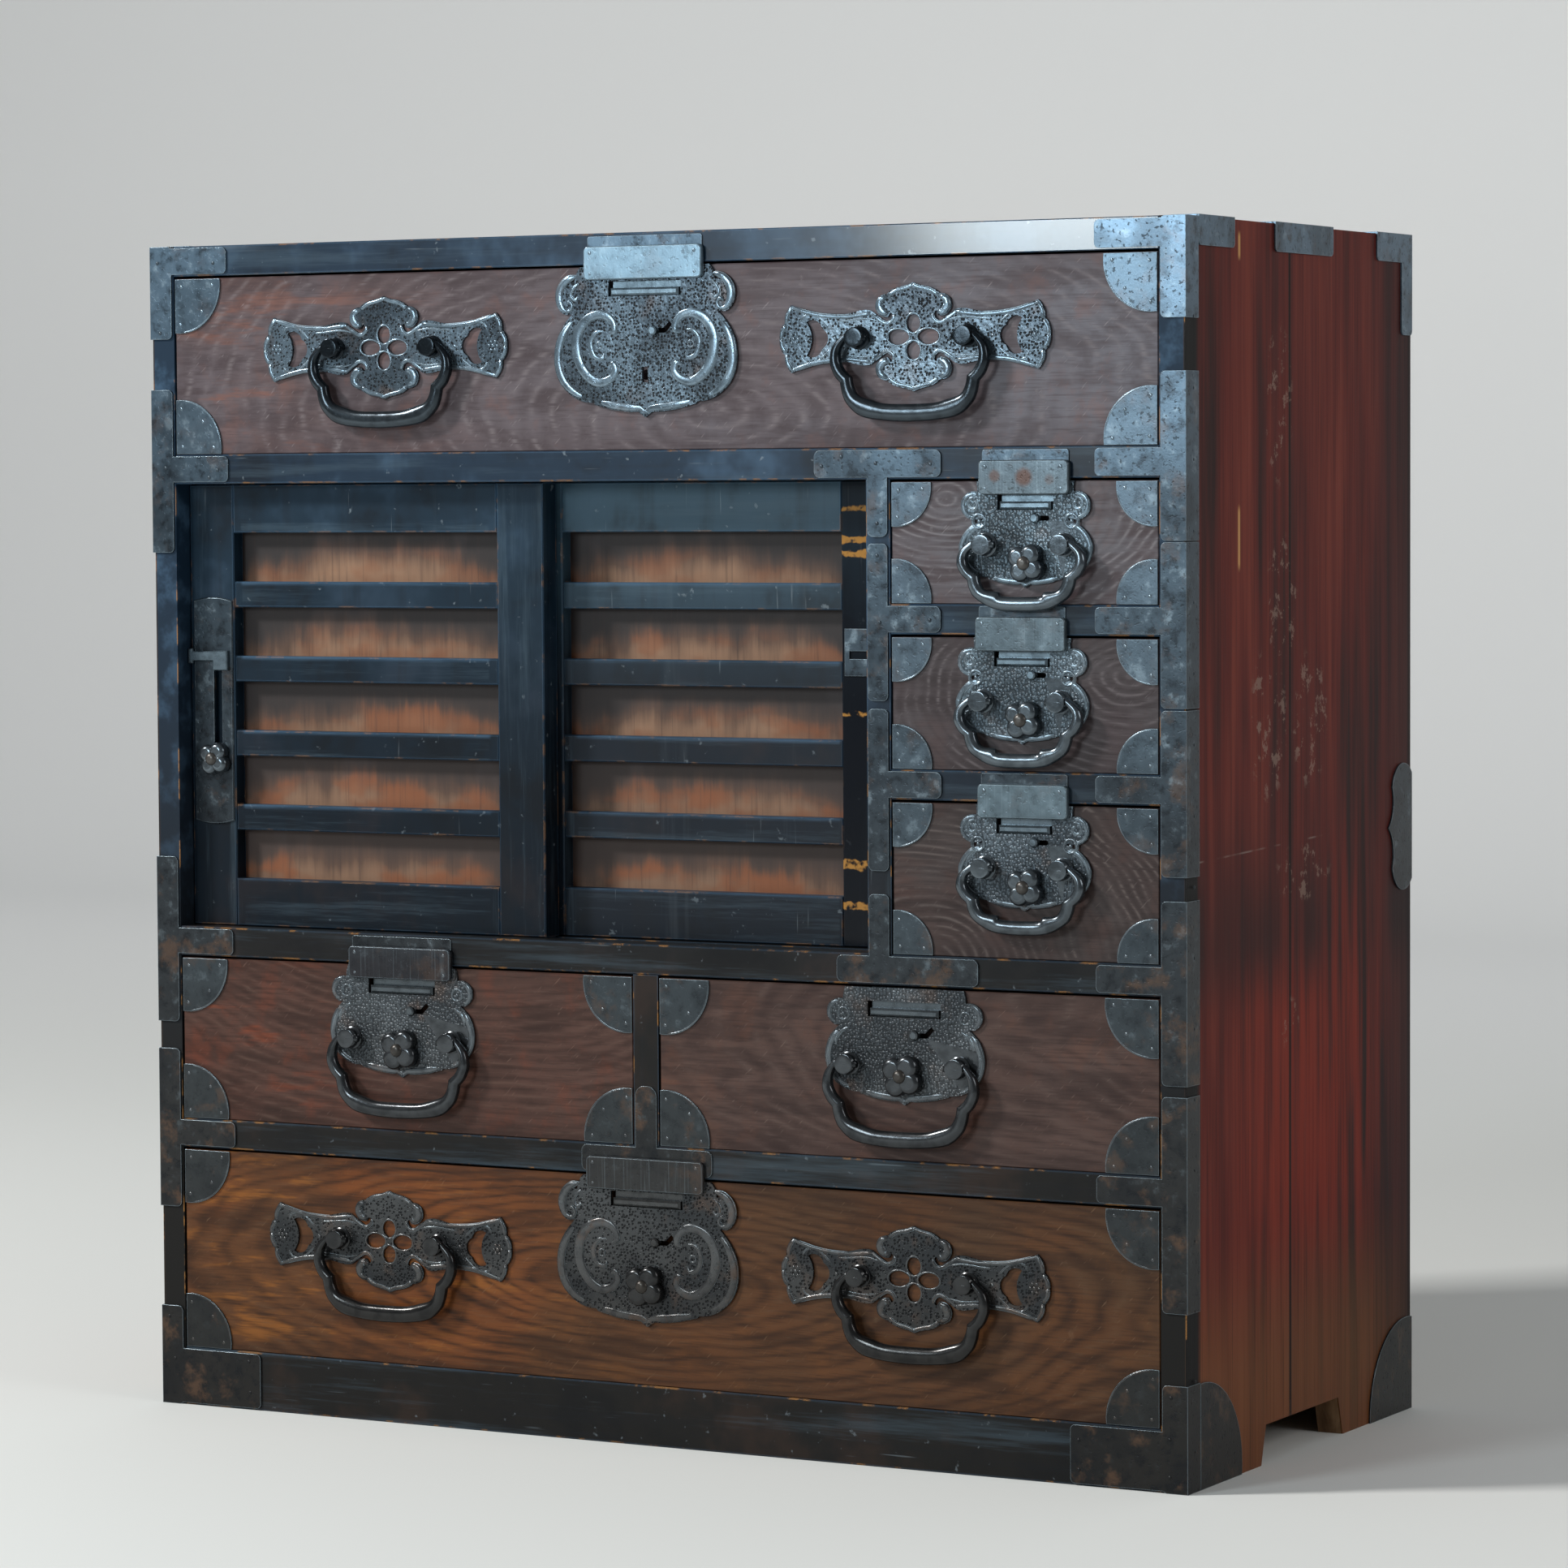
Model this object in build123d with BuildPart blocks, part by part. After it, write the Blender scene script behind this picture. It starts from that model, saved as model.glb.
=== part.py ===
# Clothing chest (isho-dansu) with iron fittings: a wide drawer at the top and at the bottom, a cupboard
# with two sliding doors beside three small drawers, and two drawers side by side below the cupboard.
# Millimetres. +Z is up, +X is to the right of a person facing the chest, and the front faces -Y.
# The origin is on the floor, in the middle of the chest with its fittings.
import os

from build123d import *

os.makedirs("parts", exist_ok=True)

# Carcass, from left to right
side_thick = 20.5
cupboard_wide = 627.5
partition_thick = 20.0
small_wide = 221.5
middle_left_wide = 422.5
divider_thick = 22.0

# Carcass, from the floor up
base_high = 47.0
bottom_space = 163.0
rail_high = 23.5
middle_space = 132.0
small_low_space = 116.5
small_middle_space = 101.0
small_high_space = 93.0
small_rail_high = 22.75
top_space = 142.5
top_thick = 24.0

# Carcass, from front to back
depth = 430.0
back_thick = 8.0
back_boards = 4
rail_deep = 76.0
small_rail_deep = 45.0
dust_thick = 9.0
base_thick = 20.0
bottom_thick = 9.0
side_front_board = 190.0
seam_gap = 0.6
notch_front = 135.0
notch_long = 157.0
notch_high = 30.0
notch_slope = 9.0
notch_batten_high = 12.0
notch_batten_overhang = 6.0
arris = 0.8

# Drawers
drawer_recess = 1.0
drawer_side_gap = 1.0
drawer_top_gap = 1.8
drawer_back_gap = 12.0
drawer_front_thick = 20.0
drawer_side_thick = 9.0
drawer_side_inset = 1.0
drawer_side_lower = 9.0
drawer_bottom_thick = 6.0

# Sliding doors
door_recess = 18.0
door_thick = 20.0
door_track_gap = 2.5
door_left_wide = 332.5
door_right_wide = 331.5
door_gap = 0.8
door_floor_gap = 0.6
door_head_gap = 0.8
door_stile = 42.0
door_top_rail = 38.5
door_bottom_rail = 38.0
batten_high = 20.5
battens = 4
batten_recess = 1.0
panel_thick = 5.0
panel_recess = 13.0
panel_groove = 6.0
tongue_thick = 9.0
tongue_up = 6.0
tongue_down = 2.5
track_up = 8.0
track_clearance = 0.5

# Iron fittings
strap_thick = 1.5
strap_inset = 1.5
strap_wrap = 21.0
strap_arm = 72.0
corner_plate_thick = 1.2
corner_inset = 0.5
corner_size = 43.0
small_corner_size = 33.0
lock_plate_thick = 2.2
handle_plate_thick = 2.0
handle_span = 234.0
rail_plate_thick = 1.0
cover_thick = 4.0
cover_corner = 4.0
cover_drop = 10.0
cover_rise = 15.5
cover_edge = 0.8

# Lock works
mortise_deep = 9.0
mortise_side = 4.0
bar_high = 6.0
bar_proud = 1.2
bar_edge = 1.6
bar_slot_side = 2.0
bar_slot_end = 0.4
bolt_thick = 3.0
bolt_back = 2.0
bolt_lift = 5.0
bolt_clearance = 0.8
catch_head_r = 3.5
catch_shank_r = 1.5
catch_head_high = 2.4
catch_disc_thick = 1.8
catch_gap = 0.2
catch_edge = 1.0
catch_slot_clearance = 0.4
catch_travel = 10.0
catch_hook = 5.0
stem_r = 3.0
stem_clearance = 0.08
stem_end_gap = 1.0
keyhole_wide = 5.0
keyhole_high = 12.0

# Handles
post_r = 8.0
post_foot_r = 8.8
post_foot_thick = 0.9
post_neck_r = 6.8
post_stand = 13.0
pivot_stand = 6.6
bail_pin_r = 2.8
bail_pin_clearance = 0.1
bail_pin_past = 0.9
bail_end_wide = 6.8
bail_deep = 9.0
bail_side_gap = 0.6
bail_edge = 2.6

knob_gap = 1.0
knob_stand = 10.8
knob_petal_high = 8.0
knob_petal_dome = 4.5
petal_spread = 0.93
petal_turn = 55
knob_boss_r = 5.6
knob_boss_dome = 4.4

# Door lock: a plate on the left stile with a slotted slide, and a strike plate on the other door
door_lock_wide = 37.0
door_lock_high = 180.0
door_lock_up = 85.0
door_lock_inset = 3.8
door_lock_thick = 1.8
door_lock_bulge = 3.0
door_iron_edge = 0.8
door_slot_wide = 8.0
door_slot_high = 66.0
door_slot_side = 4.5
door_slot_low = 62.0
latch_high = 8.0
latch_thick = 3.0
latch_head_wide = 14.0
latch_head_high = 16.0
latch_end_wide = 4.0
latch_end_high = 12.0
latch_head_side = 4.0
latch_play = 0.3
latch_rise = 4.5
latch_head_drop = 3.5
latch_shank_high = 6.0
latch_back_wide = 12.0
latch_back_thick = 2.0
latch_pocket_deep = 4.0
door_knob_low = 50.0
door_knob_side = 3.0
door_petal_r = 7.4
strike_size = 36.0
strike_low = 207.0
strike_inset = 3.0
strike_hole_wide = 28.0
strike_hole_high = 6.0
strike_hole_drop = 2.0

# Irons on the carcass: how far each strap reaches below and above its rail, and along it
strap_corner = 4.0
band_corner = 5.0
base_plate = 94.0
base_arm_up = 33.0
partition_arm = 43.0
partition_cross_half = 53.5
divider_cross_half = 58.0
side_band = 21.0
side_front_band = 86.0
side_centre_band = (161.0, 271.0)
side_rear_band = 71.0
side_rear_drop = 78.0
side_base_front = (95.0, 79.0)
side_base_rear = (86.0, 74.0)
side_bracket = (418.0, 518.0)
side_bracket_wide = 48.0

# Sizes that follow from those above
inner_wide = cupboard_wide + partition_thick + small_wide
width = inner_wide + 2 * side_thick
left = -inner_wide / 2
right = inner_wide / 2
fitting_reach = lock_plate_thick + knob_gap + knob_stand - drawer_recess
front = -(depth - fitting_reach) / 2
back = front + depth
face = front + drawer_recess
inside_back = back - back_thick
notch_low = front + notch_front
notch_end = notch_low + notch_long
batten_low = notch_low + notch_slope - notch_batten_overhang
batten_end = notch_end - notch_slope + notch_batten_overhang
partition_left = left + cupboard_wide
partition_right = partition_left + partition_thick
divider_left = left + middle_left_wide
divider_right = divider_left + divider_thick

cupboard_space = small_low_space + small_middle_space + small_high_space + 2 * small_rail_high
lower_rail = base_high + bottom_space
middle_floor = lower_rail + rail_high
middle_rail = middle_floor + middle_space
cupboard_floor = middle_rail + rail_high
upper_rail = cupboard_floor + cupboard_space
top_floor = upper_rail + rail_high
top_ceiling = top_floor + top_space
height = top_ceiling + top_thick
small_rail_low = cupboard_floor + small_low_space
small_middle_floor = small_rail_low + small_rail_high
small_rail_top = small_middle_floor + small_middle_space
small_high_floor = small_rail_top + small_rail_high

door_left_x = (left + door_gap, left + door_gap + door_left_wide)
door_right_x = (partition_left - door_gap - door_right_wide, partition_left - door_gap)
door_left_face = front + door_recess
door_right_face = door_left_face + door_thick + door_track_gap
door_lock_x = door_left_x[0] + door_lock_inset + door_lock_wide / 2
door_lock_low = cupboard_floor + door_lock_up
slot_x = door_lock_x + door_slot_side
slot_low = door_lock_low + door_slot_low
slot_high = slot_low + door_slot_high
latch_pocket = (
    (slot_x - latch_back_wide / 2 - latch_play, slot_x + latch_back_wide / 2 + latch_play),
    (door_left_face, door_left_face + latch_pocket_deep),
    (slot_low, slot_high),
)

# Lock plates, by kind: the half width at the belly, the height, the half width at the top, the ear's
# radius and its drop from the top, how far the neck cuts in below the ear, where the ear ends as a share
# of its radius, and where the works lie
lock_kinds = {
    "large": {"half": 80.5, "high": 115.5, "top_half": 57.0, "ear_r": 13.0, "ear_drop": 24.0,
              "neck_in": 1.5, "ear_end": 0.35, "cover_wide": 104.0, "bar_wide": 60.0, "bar_drop": 19.5,
              "catch_drop": 49.5, "catch_side": 7.5, "knob_drop": 83.0, "knob_side": 0.0,
              "petal_r": 9.0},
    "middle": {"half": 67.0, "high": 88.0, "top_half": 50.0, "ear_r": 10.5, "ear_drop": 19.5,
               "neck_in": 0.5, "ear_end": 0.35, "cover_wide": 95.0, "bar_wide": 58.0, "bar_drop": 18.5,
               "catch_drop": 35.0, "catch_side": 8.5, "knob_drop": 65.5, "knob_side": 0.0,
               "petal_r": 9.0,
               "post_side": 46.5, "post_drop": 58.0, "bail_half": 66.0, "bail_drop": 62.0,
               "bail_foot": 12.8},
    "small": {"half": 54.5, "high": 79.0, "top_half": 40.0, "ear_r": 10.5, "ear_drop": 18.0,
              "neck_in": 8.5, "ear_end": -0.1, "cover_wide": 74.0, "bar_wide": 42.0, "bar_drop": 18.0,
              "catch_drop": 27.5, "catch_side": 8.0, "knob_drop": 60.5, "knob_side": 2.5,
              "petal_r": 8.0,
              "post_side": 32.0, "post_drop": 47.0, "bail_half": 53.0, "bail_drop": 49.5,
              "bail_foot": 11.0},
}

# Handle plates: the half length of the arms, their half height at the neck and at the end, the crown's
# height and half width, and how far the crown's curl hangs down and hooks in
handle = {"half": 113.5, "neck": 17.8, "end_half": 25.5, "end_in": 10.0,
          "crown": 40.5, "crown_half": 31.5, "curl_low": 15.5, "hook_in": 19.2,
          "post_side": 45.5, "bail_half": 66.5, "bail_drop": 63.5, "bail_foot": 13.5}

# Its piercings: four petals (turn, length, half width, place of the widest part), and at each end a hole
# of three lobes with a round bite, as arcs of (distance from the end, height)
petal_start = 2.6
petals = ((0, 21.0, 5.9, 14.5), (90, 16.6, 6.2, 11.4), (180, 21.0, 5.9, 14.5), (270, 16.6, 6.2, 11.4))
end_hole = (
    ((23.0, 12.6), (31.0, 13.6), (36.5, 7.6)),
    ((36.5, 7.6), (41.5, 0.0), (36.5, -7.6)),
    ((36.5, -7.6), (31.0, -13.6), (23.0, -12.6)),
    ((23.0, -12.6), (27.5, 0.0), (23.0, 12.6)),
)

# Drawers, by name: their opening in the front, the kind of lock they carry, and how far the lock sits
# right of the drawer's middle
drawers = {
    "drawer_top": (left, right, top_floor, top_ceiling, "large", 3.0),
    "drawer_small_high": (partition_right, right, small_high_floor, upper_rail, "small", 2.5),
    "drawer_small_middle": (partition_right, right, small_middle_floor, small_rail_top, "small", -0.6),
    "drawer_small_low": (partition_right, right, cupboard_floor, small_rail_low, "small", 0.8),
    "drawer_middle_left": (left, divider_left, middle_floor, middle_rail, "middle", 0.2),
    "drawer_middle_right": (divider_right, right, middle_floor, middle_rail, "middle", 1.5),
    "drawer_bottom": (left, right, base_high, lower_rail, "large", -0.8),
}

# Pairs of handles, by drawer: how far the pair sits right of the middle, and above the middle
handle_pairs = {"drawer_top": (0.0, 12.0), "drawer_bottom": (-3.0, 17.0)}
without_cover = "drawer_middle_right"
without_knob = "drawer_top"


def write(name, *pieces):
    node = Compound(label=name, children=[piece.part for piece in pieces])
    export_step(node, f"parts/{name}.step")


def facing(x, y, z):
    # a plane that faces the viewer in front of the chest: its x is +X, its y is +Z, its normal is -Y
    return Plane(origin=(x, y, z), x_dir=(1, 0, 0), z_dir=(0, -1, 0))


def block(x, y, z, mode=Mode.ADD):
    # a box between two planes each way
    with Locations(((x[0] + x[1]) / 2, (y[0] + y[1]) / 2, (z[0] + z[1]) / 2)):
        Box(x[1] - x[0], y[1] - y[0], z[1] - z[0], mode=mode)


def board(label, x, y, z, softened=None, cuts=()):
    # a board with an arris taken off the face that shows, and boxes cut out of it
    with BuildPart() as piece:
        block(x, y, z)
        if softened:
            chamfer(piece.faces().sort_by(softened)[0].edges(), arris)
        for cut in cuts:
            block(*cut, mode=Mode.SUBTRACT)
    piece.part.label = label
    return piece


def lock_centre(name):
    low_x, high_x = drawers[name][:2]
    return (low_x + high_x) / 2 + drawers[name][5]


def drawer_top_edge(name):
    return drawers[name][3] - drawer_top_gap


def keeper_cut(name):
    # the pocket in the rail above a drawer, which its bolt rises into
    kind = lock_kinds[drawers[name][4]]
    half = kind["bar_wide"] / 2 + bolt_clearance
    ceiling = drawers[name][3]
    centre = lock_centre(name)
    y_low = face + bolt_back - bolt_clearance
    y_high = face + bolt_back + bolt_thick + bolt_clearance
    z_high = ceiling + bolt_lift + bolt_clearance
    return ((centre - half, centre + half), (y_low, y_high), (ceiling, z_high))


# ---------------------------------------------------------------- carcass


def side_board(label, hand, y_low, y_high):
    # hand is -1 on the left and 1 on the right; the carrying notch runs across both boards of a side
    plane = Plane(origin=(hand * right, 0, 0), x_dir=(0, 1, 0), z_dir=(1, 0, 0))
    low, end = notch_low + notch_slope, notch_end - notch_slope
    batten_top = notch_high + notch_batten_high
    with BuildPart() as piece:
        with BuildSketch(plane):
            with Locations(((y_low + y_high) / 2, height / 2)):
                Rectangle(y_high - y_low, height)
            with BuildLine():
                Polyline(
                    (notch_low, 0), (low, notch_high), (batten_low, notch_high), (batten_low, batten_top),
                    (batten_end, batten_top), (batten_end, notch_high), (end, notch_high), (notch_end, 0),
                    close=True,
                )
            make_face(mode=Mode.SUBTRACT)
        extrude(amount=hand * side_thick)
    piece.part.label = label
    return piece


def side_panel(name, hand):
    seam = front + side_front_board
    x = sorted((hand * right, hand * (right + side_thick)))
    batten_z = (notch_high, notch_high + notch_batten_high)
    write(
        name,
        side_board("front_board", hand, front, seam - seam_gap / 2),
        side_board("rear_board", hand, seam + seam_gap / 2, back),
        board("notch_batten", x, (batten_low, batten_end), batten_z),
    )


def carcass():
    side_panel("side_panel_left", -1)
    side_panel("side_panel_right", 1)
    write("top_board", board("top_board", (left, right), (front, back), (top_ceiling, height), Axis.Y,
                             [keeper_cut("drawer_top")]))
    plinth = board("plinth_board", (left, right), (front, front + base_thick), (0, base_high), Axis.Y)
    floor = board("bottom_board", (left, right), (front + base_thick, inside_back),
                  (base_high - bottom_thick, base_high))
    rear_foot = board("rear_plinth_board", (left, right), (inside_back - base_thick, inside_back),
                      (0, base_high - bottom_thick))
    write("base_boards", plinth, floor, rear_foot)

    pitch = inner_wide / back_boards
    slats = []
    for n in range(back_boards):
        x = (left + n * pitch + (seam_gap / 2 if n else 0), left + (n + 1) * pitch)
        slats.append(board(f"back_board_{n + 1}", x, (inside_back, back), (0, top_ceiling)))
    write("back_boards", *slats)

    # the wide rails carry the dust boards, and the two beside the doors carry their tracks
    tracks_up = track_cuts(upper_rail, upper_rail + track_up)
    tracks_down = track_cuts(cupboard_floor - tongue_down, cupboard_floor)
    small_names = ("drawer_small_high", "drawer_small_middle", "drawer_small_low")
    middle_names = ("drawer_middle_left", "drawer_middle_right")
    wide = (left, right)
    narrow = (partition_right, right)
    y, small_y = (front, front + rail_deep), (front, front + small_rail_deep)
    rails = [
        board("upper_rail", wide, y, (upper_rail, top_floor), Axis.Y,
              tracks_up + [keeper_cut(small_names[0])]),
        board("middle_rail", wide, y, (middle_rail, cupboard_floor), Axis.Y,
              tracks_down + [keeper_cut(name) for name in middle_names]),
        board("lower_rail", wide, y, (lower_rail, middle_floor), Axis.Y, [keeper_cut("drawer_bottom")]),
        board("small_rail_high", narrow, small_y, (small_rail_top, small_high_floor), Axis.Y,
              [keeper_cut(small_names[1])]),
        board("small_rail_low", narrow, small_y, (small_rail_low, small_middle_floor), Axis.Y,
              [keeper_cut(small_names[2])]),
    ]
    write("front_rails", *rails)

    dust = []
    for label, x, rail_back, top in (
        ("upper_dust_board", wide, rail_deep, top_floor),
        ("middle_dust_board", wide, rail_deep, cupboard_floor),
        ("lower_dust_board", wide, rail_deep, middle_floor),
        ("small_dust_board_high", narrow, small_rail_deep, small_high_floor),
        ("small_dust_board_low", narrow, small_rail_deep, small_middle_floor),
    ):
        dust.append(board(label, x, (front + rail_back, inside_back), (top - dust_thick, top)))
    write("dust_boards", *dust)

    write(
        "partitions",
        upright("cupboard_partition", partition_left, partition_right, cupboard_floor, upper_rail, top_floor),
        upright("middle_divider", divider_left, divider_right, middle_floor, middle_rail, cupboard_floor),
    )


def track_cuts(low, high):
    # two grooves, one behind the other, for the tongues of the sliding doors
    cuts = []
    for door in (0, 1):
        door_face = front + door_recess + door * (door_thick + door_track_gap)
        tongue_front = door_face + (door_thick - tongue_thick) / 2
        y = (tongue_front - track_clearance, tongue_front + tongue_thick + track_clearance)
        cuts.append(((left, partition_left), y, (low, high)))
    return cuts


def upright(label, x_low, x_high, floor, ceiling, shelf_top):
    # it meets the rail above at the front and reaches up to the dust board behind that rail
    step_y, step_z = front + rail_deep, shelf_top - dust_thick
    plane = Plane(origin=(x_low, 0, 0), x_dir=(0, 1, 0), z_dir=(1, 0, 0))
    with BuildPart() as piece:
        with BuildSketch(plane):
            with BuildLine():
                Polyline((front, floor), (inside_back, floor), (inside_back, step_z), (step_y, step_z),
                         (step_y, ceiling), (front, ceiling), close=True)
            make_face()
        extrude(amount=x_high - x_low)
    piece.part.label = label
    return piece


# ---------------------------------------------------------------- drawers


def drawer_wood(name):
    low_x, high_x, floor = drawers[name][:3]
    kind = lock_kinds[drawers[name][4]]
    x = (low_x + drawer_side_gap, high_x - drawer_side_gap)
    top_edge = drawer_top_edge(name)
    centre = lock_centre(name)
    half = kind["bar_wide"] / 2 + mortise_side
    works_low = top_edge - kind["catch_drop"] - catch_head_r - mortise_side
    front_y = (face, face + drawer_front_thick)
    rear = inside_back - drawer_back_gap
    mortise = ((centre - half, centre + half), (face, face + mortise_deep), (works_low, top_edge))
    front_board = board("front_board", x, front_y, (floor, top_edge), Axis.Y, [mortise])
    with BuildPart(mode=Mode.PRIVATE) as bored:
        add(front_board.part)
        with Locations(facing(centre + kind["knob_side"], face, top_edge - kind["knob_drop"])):
            Hole(radius=stem_r + 1, depth=mortise_deep)
    bored.part.label = "front_board"

    side_top = top_edge - drawer_side_lower
    side_x = (x[0] + drawer_side_inset, x[1] - drawer_side_inset)
    inner_x = (side_x[0] + drawer_side_thick, side_x[1] - drawer_side_thick)
    side_y = (front_y[1], rear)
    sides = [
        board("left_side", (side_x[0], inner_x[0]), side_y, (floor, side_top)),
        board("right_side", (inner_x[1], side_x[1]), side_y, (floor, side_top)),
    ]
    rear_board = board("rear_board", inner_x, (rear - drawer_side_thick, rear), (floor, side_top))
    bottom = board("bottom_board", inner_x, (front_y[1], rear - drawer_side_thick),
                   (floor, floor + drawer_bottom_thick))
    write(name, bored, *sides, rear_board, bottom)


# ---------------------------------------------------------------- iron on the drawers


def lock_outline(kind):
    # right half of the plate, from the middle of its top edge to the tip; the ear curls over a narrow neck
    half, high, r = kind["half"], kind["high"], kind["ear_r"]
    ear_x, ear_z = half - r - 1.5, -kind["ear_drop"]
    shoulder = (ear_x - 0.3 * r, ear_z + 0.95 * r)
    ear_end = (ear_x + kind["ear_end"] * r, ear_z - (1 - kind["ear_end"] ** 2) ** 0.5 * r)
    neck = (ear_x - kind["neck_in"], ear_z - 0.9 * r)
    belly_top = (ear_x - kind["neck_in"] + 3, ear_z - 1.15 * r)
    belly = (half, -0.6 * high)
    cusp = (0.57 * half, -0.9 * high)
    foot = (0.55 * half, -0.915 * high)
    tip_side = (0.075 * half, -0.965 * high)
    top = (kind["top_half"], 0)
    Line((0, 0), top)
    ThreePointArc(top, (0.35 * top[0] + 0.65 * shoulder[0], 0.4 * shoulder[1]), shoulder)
    ThreePointArc(shoulder, (ear_x + 0.95 * r, ear_z + 0.31 * r), ear_end)
    Line(ear_end, neck)
    Line(neck, belly_top)
    belly_side = (0.35 * belly_top[0] + 0.65 * half, 0.62 * belly_top[1] + 0.38 * belly[1])
    ThreePointArc(belly_top, belly_side, belly)
    ThreePointArc(belly, (0.885 * half, -0.81 * high), cusp)
    Line(cusp, foot)
    ThreePointArc(foot, (0.3 * half, -0.952 * high), tip_side)
    Line(tip_side, (0, -high))


def lock_plate(name):
    kind_name = drawers[name][4]
    kind = lock_kinds[kind_name]
    top_edge = drawer_top_edge(name)
    slot_low = -kind["bar_drop"] - bar_high / 2 - bar_slot_end
    slot_high = -kind["bar_drop"] + bar_high / 2 + bolt_lift + bar_slot_end
    catch = (kind["catch_side"], -kind["catch_drop"])
    slot = 2 * (catch_shank_r + catch_slot_clearance)
    with BuildPart() as piece:
        with BuildSketch(facing(lock_centre(name), face, top_edge)):
            with BuildLine():
                lock_outline(kind)
                mirror(about=Plane.YZ)
            make_face()
        extrude(amount=lock_plate_thick)
        with BuildSketch(facing(lock_centre(name), face, top_edge)):
            with Locations((0, (slot_low + slot_high) / 2)):
                Rectangle(kind["bar_wide"] + 2 * bar_slot_side, slot_high - slot_low)
            with Locations(catch):
                Circle(catch_head_r + catch_slot_clearance)
            with Locations((catch[0] + catch_travel / 2, catch[1])):
                Rectangle(catch_travel, slot)
            with Locations((catch[0] + catch_travel, catch[1])):
                Circle(slot / 2)
            if kind_name != "small":
                with Locations((catch[0] + catch_travel + catch_hook / 2, catch[1] + catch_hook / 2)):
                    Rectangle(catch_hook * 1.41 + slot / 2, slot, rotation=45)
            with Locations((kind["knob_side"], -kind["knob_drop"])):
                if name == without_knob:
                    Rectangle(keyhole_wide, keyhole_high)
                else:
                    Circle(stem_r + stem_clearance)
        extrude(amount=lock_plate_thick, mode=Mode.SUBTRACT)
    piece.part.label = "lock_plate"
    return piece


def lock_cover(name):
    # the raised plate over the bolt, which overhangs the rail above the drawer
    kind = lock_kinds[drawers[name][4]]
    middle = drawer_top_edge(name) + (cover_rise - cover_drop) / 2
    with BuildPart() as piece:
        with BuildSketch(facing(lock_centre(name), face - lock_plate_thick, middle)):
            RectangleRounded(kind["cover_wide"], cover_rise + cover_drop, cover_corner)
        extrude(amount=cover_thick)
        chamfer(piece.faces().sort_by(Axis.Y)[0].edges(), cover_edge)
    piece.part.label = "lock_cover"
    return piece


def corner_plates(name, size):
    # a quarter-round plate in each corner of the drawer front
    low_x, high_x, floor = drawers[name][:3]
    plates = []
    margin = drawer_side_gap + corner_inset
    sides = (("left", 1, low_x + margin), ("right", -1, high_x - margin))
    levels = (("low", 1, floor + corner_inset), ("high", -1, drawer_top_edge(name) - corner_inset))
    for side, hand, edge_x in sides:
        for level, up, edge_z in levels:
            with BuildPart() as piece:
                with BuildSketch(facing(edge_x, face, edge_z)):
                    with BuildLine():
                        across, down = hand * size, up * size
                        Line((0, 0), (across, 0))
                        ThreePointArc((across, 0), (0.73 * across, 0.76 * down), (0, down))
                        Line((0, down), (0, 0))
                    make_face()
                extrude(amount=corner_plate_thick)
            piece.part.label = f"corner_plate_{side}_{level}"
            plates.append(piece)
    return plates


def post(label, x, z, plate_thick):
    # a turned and domed post; the end of the bail passes through its cross hole
    base = face - plate_thick
    high = post_stand - plate_thick
    with BuildPart() as piece:
        with BuildSketch(Plane(origin=(x, base, z), x_dir=(1, 0, 0), z_dir=(0, 0, -1))):
            with BuildLine():
                Polyline((0, high), (0, 0), (post_foot_r, 0), (post_foot_r, post_foot_thick))
                Spline((post_foot_r, post_foot_thick), (post_neck_r, 0.3 * high), (post_r, 0.6 * high),
                       (0.78 * post_r, 0.88 * high), (0, high), tangents=[(-1, 0.3), (-1, 0)])
            make_face()
        revolve(axis=Axis((x, base, z), (0, -1, 0)))
        hole_start = (x - post_foot_r, base - pivot_stand, z)
        with BuildSketch(Plane(origin=hole_start, x_dir=(0, 1, 0), z_dir=(1, 0, 0))):
            Circle(bail_pin_r + bail_pin_clearance)
        extrude(amount=2 * post_foot_r, mode=Mode.SUBTRACT)
    piece.part.label = label
    return piece


def petal(length, half, middle):
    # a teardrop along the sketch's x, with its point towards the origin
    quarter = petal_start + 0.3 * (length - petal_start)
    with BuildSketch() as leaf:
        with BuildLine():
            Spline((petal_start, 0), (quarter, 0.8 * half), (middle, half), (length, 0),
                   tangents=[(1, 1.2), (0, -1)])
            mirror(about=Plane.XZ)
        make_face()
    return leaf.sketch


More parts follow.
